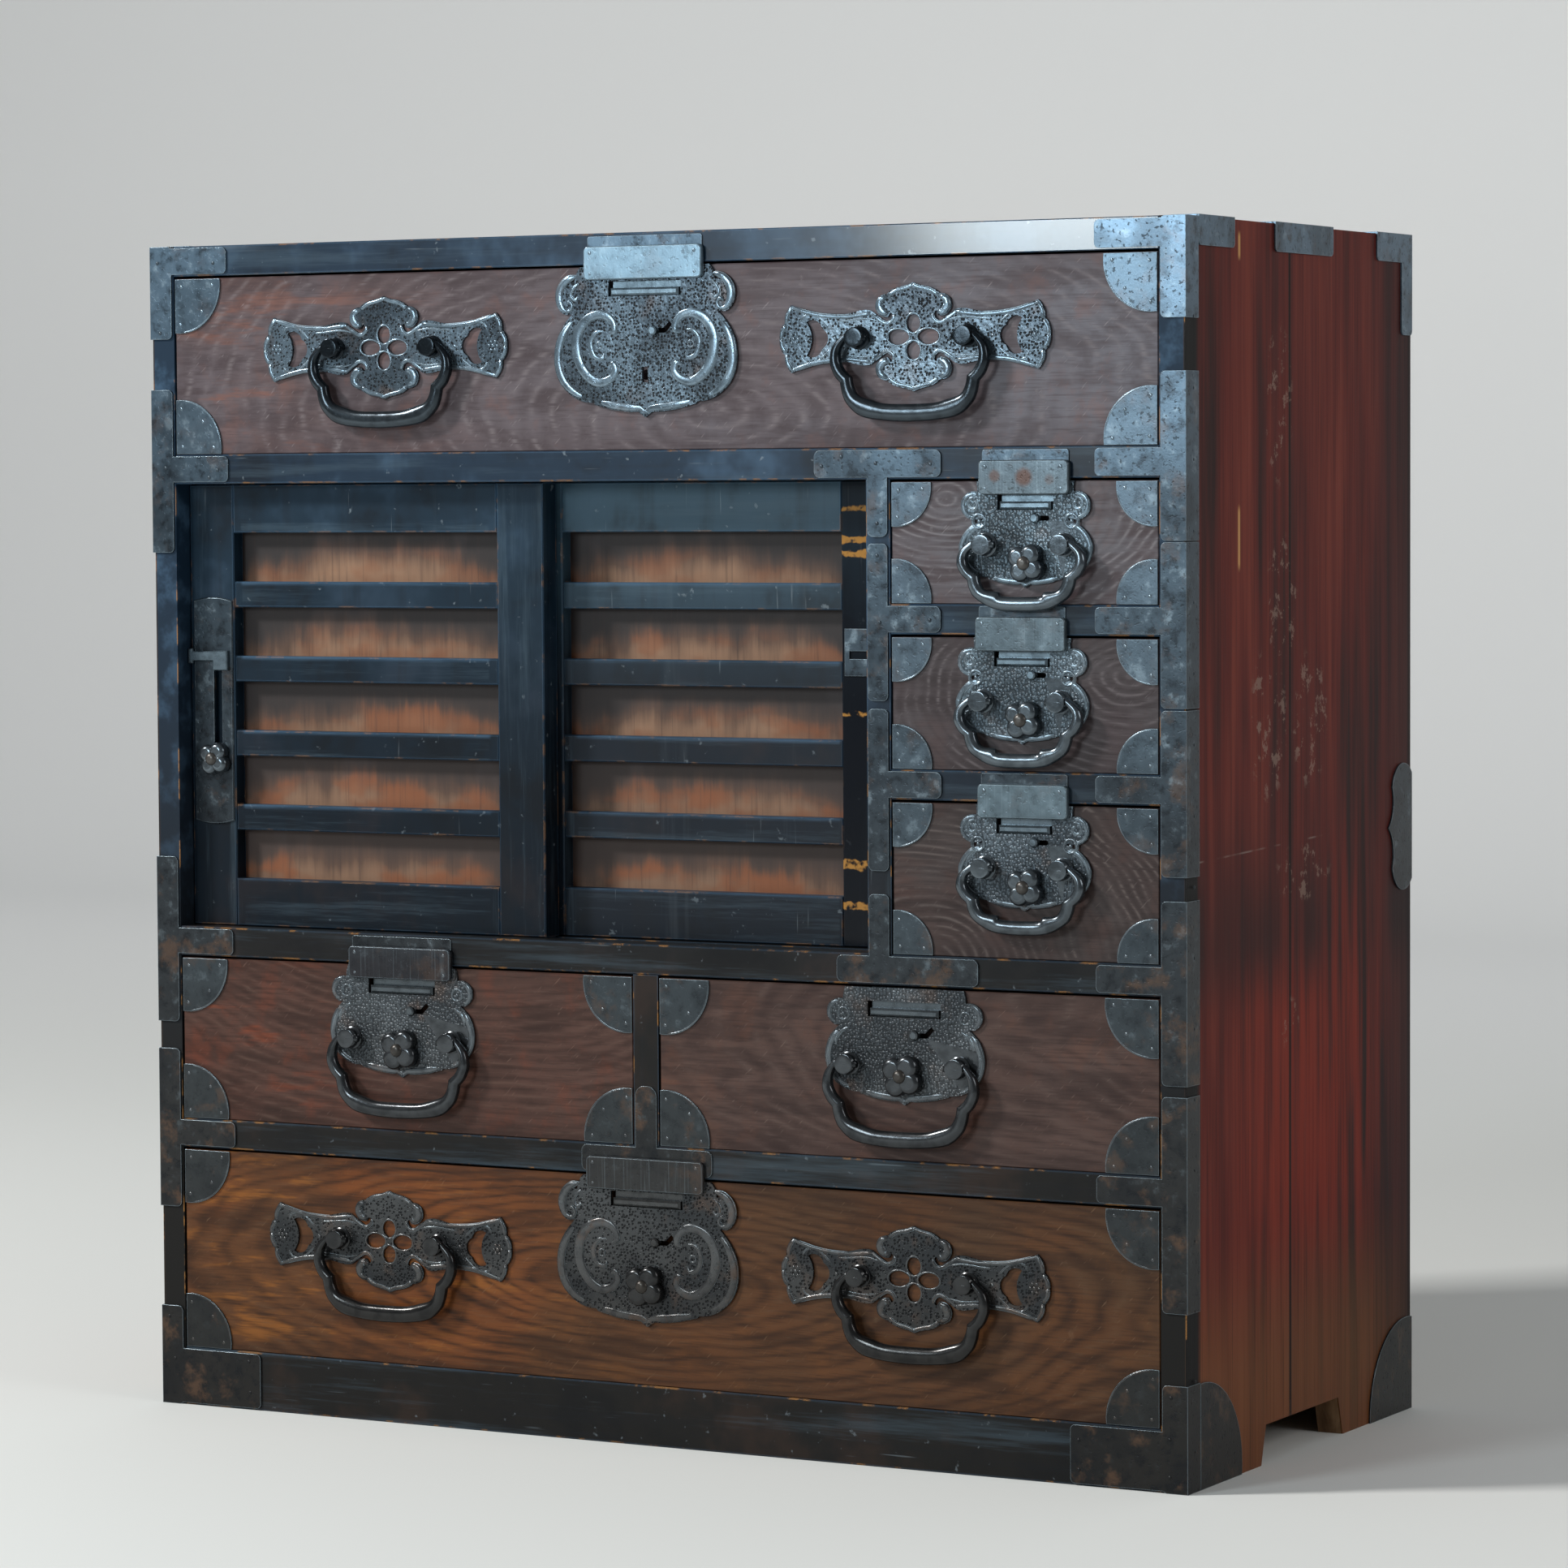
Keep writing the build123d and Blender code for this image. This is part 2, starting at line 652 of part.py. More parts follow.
def handle_plate(label, x, z):
    # a crowned medallion pierced by four petals, and an arm each side that ends in three lobes
    half, end_half, neck = handle["half"], handle["end_half"], handle["neck"]
    crown, crown_half = handle["crown"], handle["crown_half"]
    curl_low = handle["curl_low"]
    hook = (handle["hook_in"], curl_low + 3)
    shoulder = (0.7 * crown_half, 0.79 * crown)
    slit_end = (0.75 * crown_half, curl_low - 3.3)
    horn = (crown_half + 4, neck + 2.2)
    tip = (half - handle["end_in"], end_half)
    lobe = (half - 4.5, 0.45 * end_half)
    leaves = [(turn, petal(*sizes)) for turn, *sizes in petals]
    with BuildPart() as piece:
        with BuildSketch(facing(x, face, z)):
            with BuildLine():
                Spline((0, crown), (0.2 * crown_half, crown - 2.2), (0.48 * crown_half, crown - 4.2),
                       shoulder)
                Spline(shoulder, (0.93 * crown_half, 0.72 * crown), (crown_half, 0.56 * crown),
                       (0.9 * crown_half, curl_low + 1.6), (0.75 * crown_half, curl_low), hook,
                       tangents=[(1, 0.1), (-0.5, 1)])
                Spline(hook, (hook[0] - 1.6, curl_low + 1.8), (hook[0] - 0.6, curl_low - 1.7), slit_end)
                Line(slit_end, horn)
                Spline(horn, (0.5 * half, neck), tip, tangents=[(1, 0.3), (1, 0.35)])
                Spline(tip, (half - 5.4, 0.72 * end_half), lobe)
                Spline(lobe, (half - 0.9, 0.24 * end_half), (half, 0), tangents=[(1, -0.4), (0, -1)])
                mirror(about=Plane.XZ)
                mirror(about=Plane.YZ)
            make_face()
        extrude(amount=handle_plate_thick)
        with BuildSketch(facing(x, face, z)):
            for turn, leaf in leaves:
                add(leaf, rotation=turn)
            for hand in (-1, 1):
                with BuildLine():
                    for near, via, far in end_hole:
                        ThreePointArc(*((hand * (half - a), b) for a, b in (near, via, far)))
                make_face()
        extrude(amount=handle_plate_thick, mode=Mode.SUBTRACT)
    piece.part.label = label
    return piece


def drawer_iron(name):
    kind_name = drawers[name][4]
    pieces = [lock_plate(name)]
    if name != without_cover:
        pieces.append(lock_cover(name))
    pieces += corner_plates(name, small_corner_size if kind_name == "small" else corner_size)
    for label, bail_x, bail_z, shape, plate_thick in bails_on(name):
        if kind_name == "large":
            pieces.append(handle_plate(f"{label}_plate", bail_x, bail_z))
        for hand, side in ((-1, "left"), (1, "right")):
            post_x = bail_x + hand * shape["post_side"]
            pieces.append(post(f"{label}_post_{side}", post_x, bail_z, plate_thick))
    write(f"{name}_iron", *pieces)


# ---------------------------------------------------------------- bails


def bails_on(name):
    # label, pivot x and z, the shape's sizes and the thickness of the plate behind
    if name in handle_pairs:
        low_x, high_x, floor = drawers[name][:3]
        aside, above = handle_pairs[name]
        x = (low_x + high_x) / 2 + aside
        z = (floor + drawer_top_edge(name)) / 2 + above
        return [("handle_left", x - handle_span, z, handle, handle_plate_thick),
                ("handle_right", x + handle_span, z, handle, handle_plate_thick)]
    kind = lock_kinds[drawers[name][4]]
    z = drawer_top_edge(name) - kind["post_drop"]
    return [("handle", lock_centre(name), z, kind, lock_plate_thick)]


def bail(name, x, z, shape, plate_thick):
    # a forged bar: its outline steps in at a shoulder each side, and it is thickest at the foot
    half, drop = shape["bail_half"], shape["bail_drop"]
    start = shape["post_side"] + post_r + bail_side_gap
    pivot_y = face - plate_thick - pivot_stand
    r = bail_end_wide / 2
    inner = drop - shape["bail_foot"]
    shoulder, inner_shoulder = (half - 9.0, -0.53 * drop), (half - 18.0, -0.46 * drop)
    with BuildPart() as piece:
        with BuildSketch(facing(x, pivot_y + bail_deep / 2, z)):
            with BuildLine():
                Line((start, -r), (start, r))
                Spline(
                    (start, r), (half - 2.0, -0.1 * drop), (half, -0.3 * drop),
                    (half - 4.0, -0.45 * drop), shoulder, tangents=[(1, 0), (-1, -0.55)],
                )
                Spline(
                    shoulder, (half - 13.5, -0.78 * drop), (half - 26, -0.93 * drop),
                    (0.3 * half, -0.985 * drop), (0, -drop), tangents=[(0.1, -1), (-1, 0)],
                )
                Spline(
                    (0, -inner), (0.3 * half, -inner + 0.6), (half - 34, -inner + 3.6),
                    (half - 23.0, -0.66 * drop), inner_shoulder, tangents=[(1, 0), (0.1, 1)],
                )
                Spline(
                    inner_shoulder, (half - 11.6, -0.37 * drop), (half - 8.4, -0.27 * drop),
                    (half - 8.6, -0.16 * drop), (start, -r), tangents=[(1, 0.55), (-1, 0)],
                )
                mirror(about=Plane.YZ)
            make_face()
        extrude(amount=bail_deep)
        near, far = piece.faces().sort_by(Axis.Y)[0], piece.faces().sort_by(Axis.Y)[-1]
        chamfer(near.edges() + far.edges(), bail_edge)
        reach = 2 * (post_r + bail_side_gap) + bail_pin_past
        for hand in (-1, 1):
            pin_start = (x + hand * (start - reach), pivot_y, z)
            with BuildSketch(Plane(origin=pin_start, x_dir=(0, 1, 0), z_dir=(hand, 0, 0))):
                Circle(bail_pin_r)
            extrude(amount=reach + bail_pin_past)
    piece.part.label = name
    write(name, piece)


# ---------------------------------------------------------------- lock works


def lock_bolt(name):
    # a flat bolt behind the plate, with a finger bar that stands out through the plate's slot
    kind = lock_kinds[drawers[name][4]]
    top_edge, x = drawer_top_edge(name), lock_centre(name)
    bar_low = top_edge - kind["bar_drop"] - bar_high / 2
    bolt_x = (x - kind["bar_wide"] / 2, x + kind["bar_wide"] / 2)
    bolt_y = face + bolt_back
    with BuildPart() as piece:
        block(bolt_x, (bolt_y, bolt_y + bolt_thick), (bar_low, top_edge))
        block(bolt_x, (face - lock_plate_thick - bar_proud, bolt_y), (bar_low, bar_low + bar_high))
        chamfer(piece.faces().sort_by(Axis.Y)[0].edges(), bar_edge)
    piece.part.label = "bolt"
    write(f"{name}_bolt", piece)


def lock_catch(name):
    # a button on a shank that slides sideways in the plate's hooked slot, held by a disc behind the plate
    kind = lock_kinds[drawers[name][4]]
    x, z = lock_centre(name) + kind["catch_side"], drawer_top_edge(name) - kind["catch_drop"]
    head_back = face - lock_plate_thick - catch_gap
    with BuildPart() as piece:
        for radius, y_back, thick in (
            (catch_head_r, face + catch_gap + catch_disc_thick, catch_disc_thick),
            (catch_shank_r, face + catch_gap, lock_plate_thick + 2 * catch_gap),
            (catch_head_r, head_back, catch_head_high),
        ):
            with BuildSketch(facing(x, y_back, z)):
                Circle(radius)
            extrude(amount=thick)
        chamfer(piece.faces().sort_by(Axis.Y)[0].edges(), catch_edge)
    piece.part.label = "catch"
    write(f"{name}_catch", piece)


def dome(radius, high, edge):
    with BuildPart() as piece:
        with BuildSketch():
            Circle(radius)
        extrude(amount=high)
        fillet(piece.faces().sort_by(Axis.Z)[-1].edges(), edge)
    return piece.part


def knob(name, x, z, base_y, stem_back, petal_r):
    # a flower of four domed petals round a domed middle, on a round stem that turns in its plate
    head_back = base_y - knob_gap
    flower_petal = dome(petal_r, knob_petal_high, knob_petal_dome)
    boss = dome(knob_boss_r, knob_stand, knob_boss_dome)
    with BuildPart() as flower:
        with PolarLocations(petal_spread * petal_r, 4, start_angle=petal_turn):
            add(flower_petal)
        add(boss)
        with BuildSketch():
            Circle(stem_r)
        extrude(amount=head_back - stem_back)
    with BuildPart() as piece:
        add(facing(x, head_back, z).location * flower.part)
    piece.part.label = name
    write(name, piece)


# ---------------------------------------------------------------- sliding doors


def door(name, x_low, x_high, y_front, stile_cuts=()):
    # stiles and rails with a tongue above and below, battens across, and a thin panel behind them
    y_back = y_front + door_thick
    y = (y_front, y_back)
    low, high = cupboard_floor + door_floor_gap, upper_rail - door_head_gap
    tongue_y = (y_front + (door_thick - tongue_thick) / 2, y_front + (door_thick + tongue_thick) / 2)
    inner = (x_low + door_stile, x_high - door_stile)
    rail_low = (low, low + door_bottom_rail)
    rail_high_z = (high - door_top_rail, high)
    panel_y = (y_front + panel_recess, y_front + panel_recess + panel_thick)
    panel_x = (inner[0] - panel_groove, inner[1] + panel_groove)
    panel_z = (rail_low[1] - panel_groove, rail_high_z[0] + panel_groove)
    groove = (panel_x, panel_y, panel_z)

    frame = [
        board("left_stile", (x_low, inner[0]), y, (low, high), Axis.Y, [groove, *stile_cuts]),
        board("right_stile", (inner[1], x_high), y, (low, high), Axis.Y, [groove]),
        board("bottom_rail", inner, y, rail_low, Axis.Y, [groove]),
        board("top_rail", inner, y, rail_high_z, Axis.Y, [groove]),
        board("top_tongue", (x_low, x_high), tongue_y, (high, upper_rail + tongue_up)),
        board("bottom_tongue", (x_low, x_high), tongue_y, (cupboard_floor - tongue_down, low)),
    ]
    field = (rail_high_z[0] - rail_low[1] - battens * batten_high) / (battens + 1)
    for n in range(battens):
        batten_low = rail_low[1] + field + n * (field + batten_high)
        z = (batten_low, batten_low + batten_high)
        frame.append(board(f"batten_{n + 1}", inner, (y_front + batten_recess, panel_y[0]), z, Axis.Y))
    write(f"{name}_frame", *frame)
    write(f"{name}_panel", board("panel", panel_x, panel_y, panel_z))


def door_fittings():
    centre, bulge = door_lock_x, door_lock_bulge
    knob_x, knob_z = centre + door_knob_side, door_lock_low + door_knob_low
    with BuildPart() as plate:
        with BuildSketch(facing(centre, door_left_face, door_lock_low)):
            with BuildLine():
                half, shoulder = door_lock_wide / 2, door_lock_high - bulge
                Line((half, 0), (half, shoulder))
                ThreePointArc((half, shoulder), (0, door_lock_high), (-half, shoulder))
                Line((-half, shoulder), (-half, 0))
                ThreePointArc((-half, 0), (0, -bulge), (half, 0))
            make_face()
        extrude(amount=door_lock_thick)
        chamfer(plate.faces().sort_by(Axis.Y)[0].edges(), door_iron_edge)
        with BuildSketch(facing(0, door_left_face, 0)):
            with Locations((slot_x, (slot_low + slot_high) / 2)):
                Rectangle(door_slot_wide, door_slot_high)
            with Locations((knob_x, knob_z)):
                Circle(stem_r + stem_clearance)
        extrude(amount=door_lock_thick, mode=Mode.SUBTRACT)
    plate.part.label = "door_lock_plate"
    write("door_lock_plate", plate)

    latch_back = door_left_face - door_lock_thick - latch_play
    latch_z = slot_high + latch_rise
    latch_low_x = left + door_gap
    shank_z = slot_high - latch_play - latch_shank_high / 2
    with BuildPart() as latch:
        with BuildSketch(facing(0, latch_back, latch_z)):
            with Locations(((latch_low_x + slot_x) / 2, 0)):
                Rectangle(slot_x - latch_low_x, latch_high)
            with Locations((latch_low_x + latch_end_wide / 2, 0)):
                Rectangle(latch_end_wide, latch_end_high)
            with Locations((slot_x + latch_head_side, -latch_head_drop)):
                Rectangle(latch_head_wide, latch_head_high)
        extrude(amount=latch_thick)
        chamfer(latch.faces().sort_by(Axis.Y)[0].edges(), door_iron_edge)
        with Locations((slot_x, (latch_back + door_left_face + latch_play) / 2, shank_z)):
            Box(door_slot_wide - 2 * latch_play, door_left_face + latch_play - latch_back, latch_shank_high)
        with Locations((slot_x, door_left_face + latch_play + latch_back_thick / 2, shank_z)):
            Box(latch_back_wide, latch_back_thick, latch_shank_high)
    latch.part.label = "door_latch"
    write("door_latch", latch)

    knob("door_knob", knob_x, knob_z, door_left_face - door_lock_thick, door_left_face, door_petal_r)

    strike_x = door_right_x[1] - strike_inset - strike_size / 2
    strike_z = cupboard_floor + strike_low + strike_size / 2
    with BuildPart() as strike:
        with BuildSketch(facing(strike_x, door_right_face, strike_z)):
            Rectangle(strike_size, strike_size)
            with Locations((0, -strike_hole_drop)):
                Rectangle(strike_hole_wide, strike_hole_high, mode=Mode.SUBTRACT)
        extrude(amount=corner_plate_thick)
    strike.part.label = "door_strike_plate"
    write("door_strike_plate", strike)


# ---------------------------------------------------------------- iron on the carcass


def post_iron(label, hand, rail, below, above, arm):
    # a strap up the post that wraps round onto the side, with an arm along the rail
    rail_low, rail_top = rail
    edge = hand * (right + side_thick)
    out = edge + hand * strap_thick
    inner = hand * (right + strap_inset)
    low, high = rail_low - below, rail_top + above
    arm_end = edge - hand * arm
    with BuildPart() as piece:
        with BuildSketch(facing(0, front, 0)):
            with Locations(((inner + out) / 2, (low + high) / 2)):
                RectangleRounded(abs(out - inner), high - low, strap_corner)
            with Locations(((out + inner) / 2 + hand * strap_corner, (low + high) / 2)):
                Rectangle(abs(out - inner) - 2 * strap_corner, high - low)
            if arm:
                with Locations(((arm_end + out) / 2, (rail_low + rail_top) / 2)):
                    RectangleRounded(abs(out - arm_end), rail_top - rail_low - 2 * strap_inset, strap_corner)
        extrude(amount=strap_thick)
        with BuildSketch(Plane(origin=(edge, 0, 0), x_dir=(0, 1, 0), z_dir=(1, 0, 0))):
            with Locations((front + strap_wrap / 2 - strap_thick / 2, (low + high) / 2)):
                Rectangle(strap_wrap + strap_thick, high - low)
        extrude(amount=hand * strap_thick)
    piece.part.label = label
    return piece


def flat_iron(label, plane, pieces_of_outline, thick=strap_thick):
    # a flat plate made of rounded rectangles that overlap: (low corner, high corner, corner radius)
    with BuildPart() as piece:
        with BuildSketch(plane):
            for low, high, corner in pieces_of_outline:
                with Locations(((low[0] + high[0]) / 2, (low[1] + high[1]) / 2)):
                    RectangleRounded(high[0] - low[0], high[1] - low[1], corner)
        extrude(amount=thick)
    piece.part.label = label
    return piece


def front_iron():
    edge = right + side_thick
    upper, middle, lower = (upper_rail, top_floor), (middle_rail, cupboard_floor), (lower_rail, middle_floor)
    small_high, small_low = (small_rail_top, small_high_floor), (small_rail_low, small_middle_floor)
    top, base = (top_ceiling, height), (0.0, base_high)
    straps = [
        post_iron("left_top_corner", -1, top, 50.0, 0.0, strap_arm),
        post_iron("left_upper_strap", -1, upper, 55.0, 52.0, strap_arm),
        post_iron("left_middle_strap", -1, middle, 54.0, 56.0, strap_arm),
        post_iron("left_lower_strap", -1, lower, 49.0, 56.0, strap_arm),
        post_iron("left_base_corner", -1, base, 0.0, base_arm_up, base_plate),
        post_iron("right_top_corner", 1, top, 50.0, 0.0, strap_arm),
        post_iron("right_upper_strap", 1, upper, 46.0, 54.0, strap_arm),
        post_iron("right_small_strap_high", 1, small_high, 52.5, 46.0, strap_arm),
        post_iron("right_small_strap_low", 1, small_low, 52.0, 47.0, strap_arm),
        post_iron("right_middle_strap", 1, middle, 65.0, 47.0, strap_arm),
        post_iron("right_lower_strap", 1, lower, 77.0, 59.0, strap_arm),
        post_iron("right_base_corner", 1, base, 0.0, base_arm_up, base_plate),
    ]

    # straps on the partition's front edge, with arms along the small rails and across the wide rails
    plane = facing(0, front, 0)
    stem = (partition_left + strap_inset, partition_right - strap_inset)
    stem_x = (stem[0] + stem[1]) / 2
    arm_right = partition_right + partition_arm

    def across(rail, low_x, high_x):
        return ((low_x, rail[0] + strap_inset), (high_x, rail[1] - strap_inset), band_corner)

    straps += [
        flat_iron("partition_upper_strap", plane,
                  [across(upper, stem_x - partition_cross_half, stem_x + partition_cross_half),
                   ((stem[0], upper_rail - 43), (stem[1], top_floor - 3), band_corner)]),
        flat_iron("partition_small_strap_high", plane,
                  [((stem[0], small_rail_top - 50), (stem[1], small_high_floor + 45), strap_corner),
                   across(small_high, stem[0], arm_right)]),
        flat_iron("partition_small_strap_low", plane,
                  [((stem[0], small_rail_low - 54), (stem[1], small_middle_floor + 45), strap_corner),
                   across(small_low, stem[0], arm_right)]),
        flat_iron("partition_middle_strap", plane,
                  [((stem[0], middle_rail + 2), (stem[1], cupboard_floor + 45), strap_corner),
                   across(middle, lock_centre("drawer_middle_right") - 57, stem_x + 83)]),
    ]
    stem = (divider_left + strap_inset, divider_right - strap_inset)
    straps.append(
        flat_iron("divider_lower_strap", plane,
                  [((stem[0], lower_rail + 2), (stem[1], middle_floor + 46), 8.0),
                   across(lower, lock_centre("drawer_bottom") - divider_cross_half,
                          lock_centre("drawer_bottom") + divider_cross_half)],
                  rail_plate_thick)
    )

    # thin plates on the rails behind the lock covers
    for name in drawers:
        if name in ("drawer_bottom", without_cover):
            continue
        half = lock_kinds[drawers[name][4]]["cover_wide"] / 2 - 1.5
        ceiling = drawers[name][3]
        straps.append(
            flat_iron(f"{name}_rail_plate", facing(lock_centre(name), front, ceiling),
                      [((-half, 1.0), (half, 21.5), 2.0)], rail_plate_thick)
        )
    return straps


def side_iron():
    # flat irons on the outer face of each side, with leaves bent over the top
    pieces = []
    for hand, side in ((-1, "left"), (1, "right")):
        plane = Plane(origin=(hand * (right + side_thick), front, 0), x_dir=(0, 1, 0), z_dir=(1, 0, 0))
        thick = hand * strap_thick
        bands = {
            f"{side}_top_front_iron": [((strap_wrap + 1, height - side_band), (side_front_band, height),
                                        strap_corner)],
            f"{side}_top_centre_iron": [((side_centre_band[0], height - side_band), (side_centre_band[1], height),
                                         strap_corner)],
            f"{side}_top_rear_iron": [
                ((depth - side_rear_band, height - side_band), (depth, height), strap_corner),
                ((depth - side_band, height - side_rear_drop), (depth, height), strap_corner),
            ],
        }
        for label, outline in bands.items():
            with BuildPart() as piece:
                with BuildSketch(plane):
                    for low, high, corner in outline:
                        with Locations(((low[0] + high[0]) / 2, (low[1] + high[1]) / 2)):
                            RectangleRounded(high[0] - low[0], high[1] - low[1], corner)
                        with Locations(((low[0] + high[0]) / 2, high[1] - corner / 2)):
                            Rectangle(high[0] - low[0], corner)
                extrude(amount=thick)
                low, high = outline[0][:2]
                edge = right + side_thick
                top_x = sorted((hand * (edge + strap_thick), hand * (edge - side_band)))
                block(top_x, (front + low[0], front + high[0]), (height, height + strap_thick))
            piece.part.label = label
            pieces.append(piece)

        with BuildPart() as bracket:
            with BuildSketch(plane):
                with BuildLine():
                    bracket_low, bracket_high = side_bracket
                    middle = (bracket_low + bracket_high) / 2
                    low, high = (depth, bracket_low + 8), (depth, bracket_high - 8)
                    low_lobe, high_lobe = (depth - 40, bracket_low + 18), (depth - 40, bracket_high - 18)
                    point = (depth - side_bracket_wide, middle)
                    Line(low, high)
                    ThreePointArc(high, (depth - 22, bracket_high), high_lobe)
                    ThreePointArc(high_lobe, (depth - 38, middle + 16), point)
                    ThreePointArc(point, (depth - 38, middle - 16), low_lobe)
                    ThreePointArc(low_lobe, (depth - 22, bracket_low), low)
                make_face()
            extrude(amount=thick)
        bracket.part.label = f"{side}_rear_bracket"
        pieces.append(bracket)

        for label, low_y, towards, size in (
            (f"{side}_base_front_iron", strap_wrap + 1, 1, (side_base_front[0] - strap_wrap, side_base_front[1])),
            (f"{side}_base_rear_iron", depth, -1, side_base_rear),
        ):
            with BuildPart() as foot:
                with BuildSketch(plane):
                    with BuildLine():
                        across, up = towards * size[0], size[1]
                        Line((low_y, 0), (low_y + across, 0))
                        ThreePointArc((low_y + across, 0), (low_y + 0.75 * across, 0.72 * up), (low_y, up))
                        Line((low_y, up), (low_y, 0))
                    make_face()
                extrude(amount=thick)
            foot.part.label = label
            pieces.append(foot)
    return pieces


# ---------------------------------------------------------------- the chest

carcass()
write("frame_irons", *front_iron(), *side_iron())
for drawer_name in drawers:
    drawer_wood(drawer_name)
    drawer_iron(drawer_name)
    lock_bolt(drawer_name)
    lock_catch(drawer_name)
    for label, bail_x, bail_z, shape, plate_thick in bails_on(drawer_name):
        bail(f"{drawer_name}_{label}", bail_x, bail_z, shape, plate_thick)
    if drawer_name != without_knob:
        lock_kind = lock_kinds[drawers[drawer_name][4]]
        knob_x = lock_centre(drawer_name) + lock_kind["knob_side"]
        knob_z = drawer_top_edge(drawer_name) - lock_kind["knob_drop"]
        stem_end = face + mortise_deep - stem_end_gap
        knob(f"{drawer_name}_knob", knob_x, knob_z, face - lock_plate_thick, stem_end, lock_kind["petal_r"])
door("door_left", *door_left_x, door_left_face, [latch_pocket])
door("door_right", *door_right_x, door_right_face)
door_fittings()
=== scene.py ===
from cmath import phase, rect
from functools import reduce
from math import copysign, cos, hypot, pi, radians, sin, sqrt

import bpy
from mathutils import Matrix, Vector


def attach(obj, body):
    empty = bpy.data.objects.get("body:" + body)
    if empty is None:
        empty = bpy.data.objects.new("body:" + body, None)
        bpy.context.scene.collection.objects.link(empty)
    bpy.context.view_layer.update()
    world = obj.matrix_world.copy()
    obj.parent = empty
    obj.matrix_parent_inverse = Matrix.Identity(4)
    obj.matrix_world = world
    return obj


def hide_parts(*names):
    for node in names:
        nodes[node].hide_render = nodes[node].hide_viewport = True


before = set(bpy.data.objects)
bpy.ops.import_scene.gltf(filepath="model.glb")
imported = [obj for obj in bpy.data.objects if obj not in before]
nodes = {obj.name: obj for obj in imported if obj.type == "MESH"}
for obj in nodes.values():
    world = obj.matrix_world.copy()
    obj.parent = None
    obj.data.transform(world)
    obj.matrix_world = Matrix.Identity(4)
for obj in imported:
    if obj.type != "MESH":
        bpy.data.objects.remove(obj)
scene = bpy.context.scene
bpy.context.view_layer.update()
print("frame loaded:", len(nodes), "nodes")


# ---- shader maths ----

def maths(operation, turned=False):
    # a method that makes one maths node; turned swaps its two inputs
    def run(self, other=None):
        first, second = (other, self) if turned else (self, other)
        inputs = {0: first} if second is None else {0: first, 1: second}
        return self.recipe.node("Math", {"operation": operation}, inputs)
    return run


class Value:
    # wraps an output socket, so that shader maths reads as arithmetic
    def __init__(self, recipe, socket):
        self.recipe, self.socket = recipe, socket

    __add__ = __radd__ = maths("ADD")
    __mul__ = __rmul__ = maths("MULTIPLY")
    __sub__, __rsub__ = maths("SUBTRACT"), maths("SUBTRACT", True)
    __truediv__, __pow__ = maths("DIVIDE"), maths("POWER")
    sine, root, size = maths("SINE"), maths("SQRT"), maths("ABSOLUTE")
    least, most, cycle = maths("MINIMUM"), maths("MAXIMUM"), maths("FLOORED_MODULO")

    def near(self, middle, far, close):
        # 1 where it is closer to the middle than close, and 0 further off than far
        return (self - middle).size().rise(far, close)

    def rise(self, low, high):
        # 0 below low, 1 above high, and smooth between; it falls where high is below low
        first, last = (1.0, 0.0) if high < low else (0.0, 1.0)
        inputs = {0: self, 1: min(low, high), 2: max(low, high), 3: first, 4: last}
        return self.recipe.node("MapRange", {"interpolation_type": "SMOOTHSTEP"}, inputs)


def tone(code):
    # a colour as written in a paint chart, made linear
    parts = [int(code[n:n + 2], 16) / 255 for n in (0, 2, 4)]
    return tuple(p / 12.92 if p <= 0.04045 else ((p + 0.055) / 1.055) ** 2.4 for p in parts) + (1.0,)


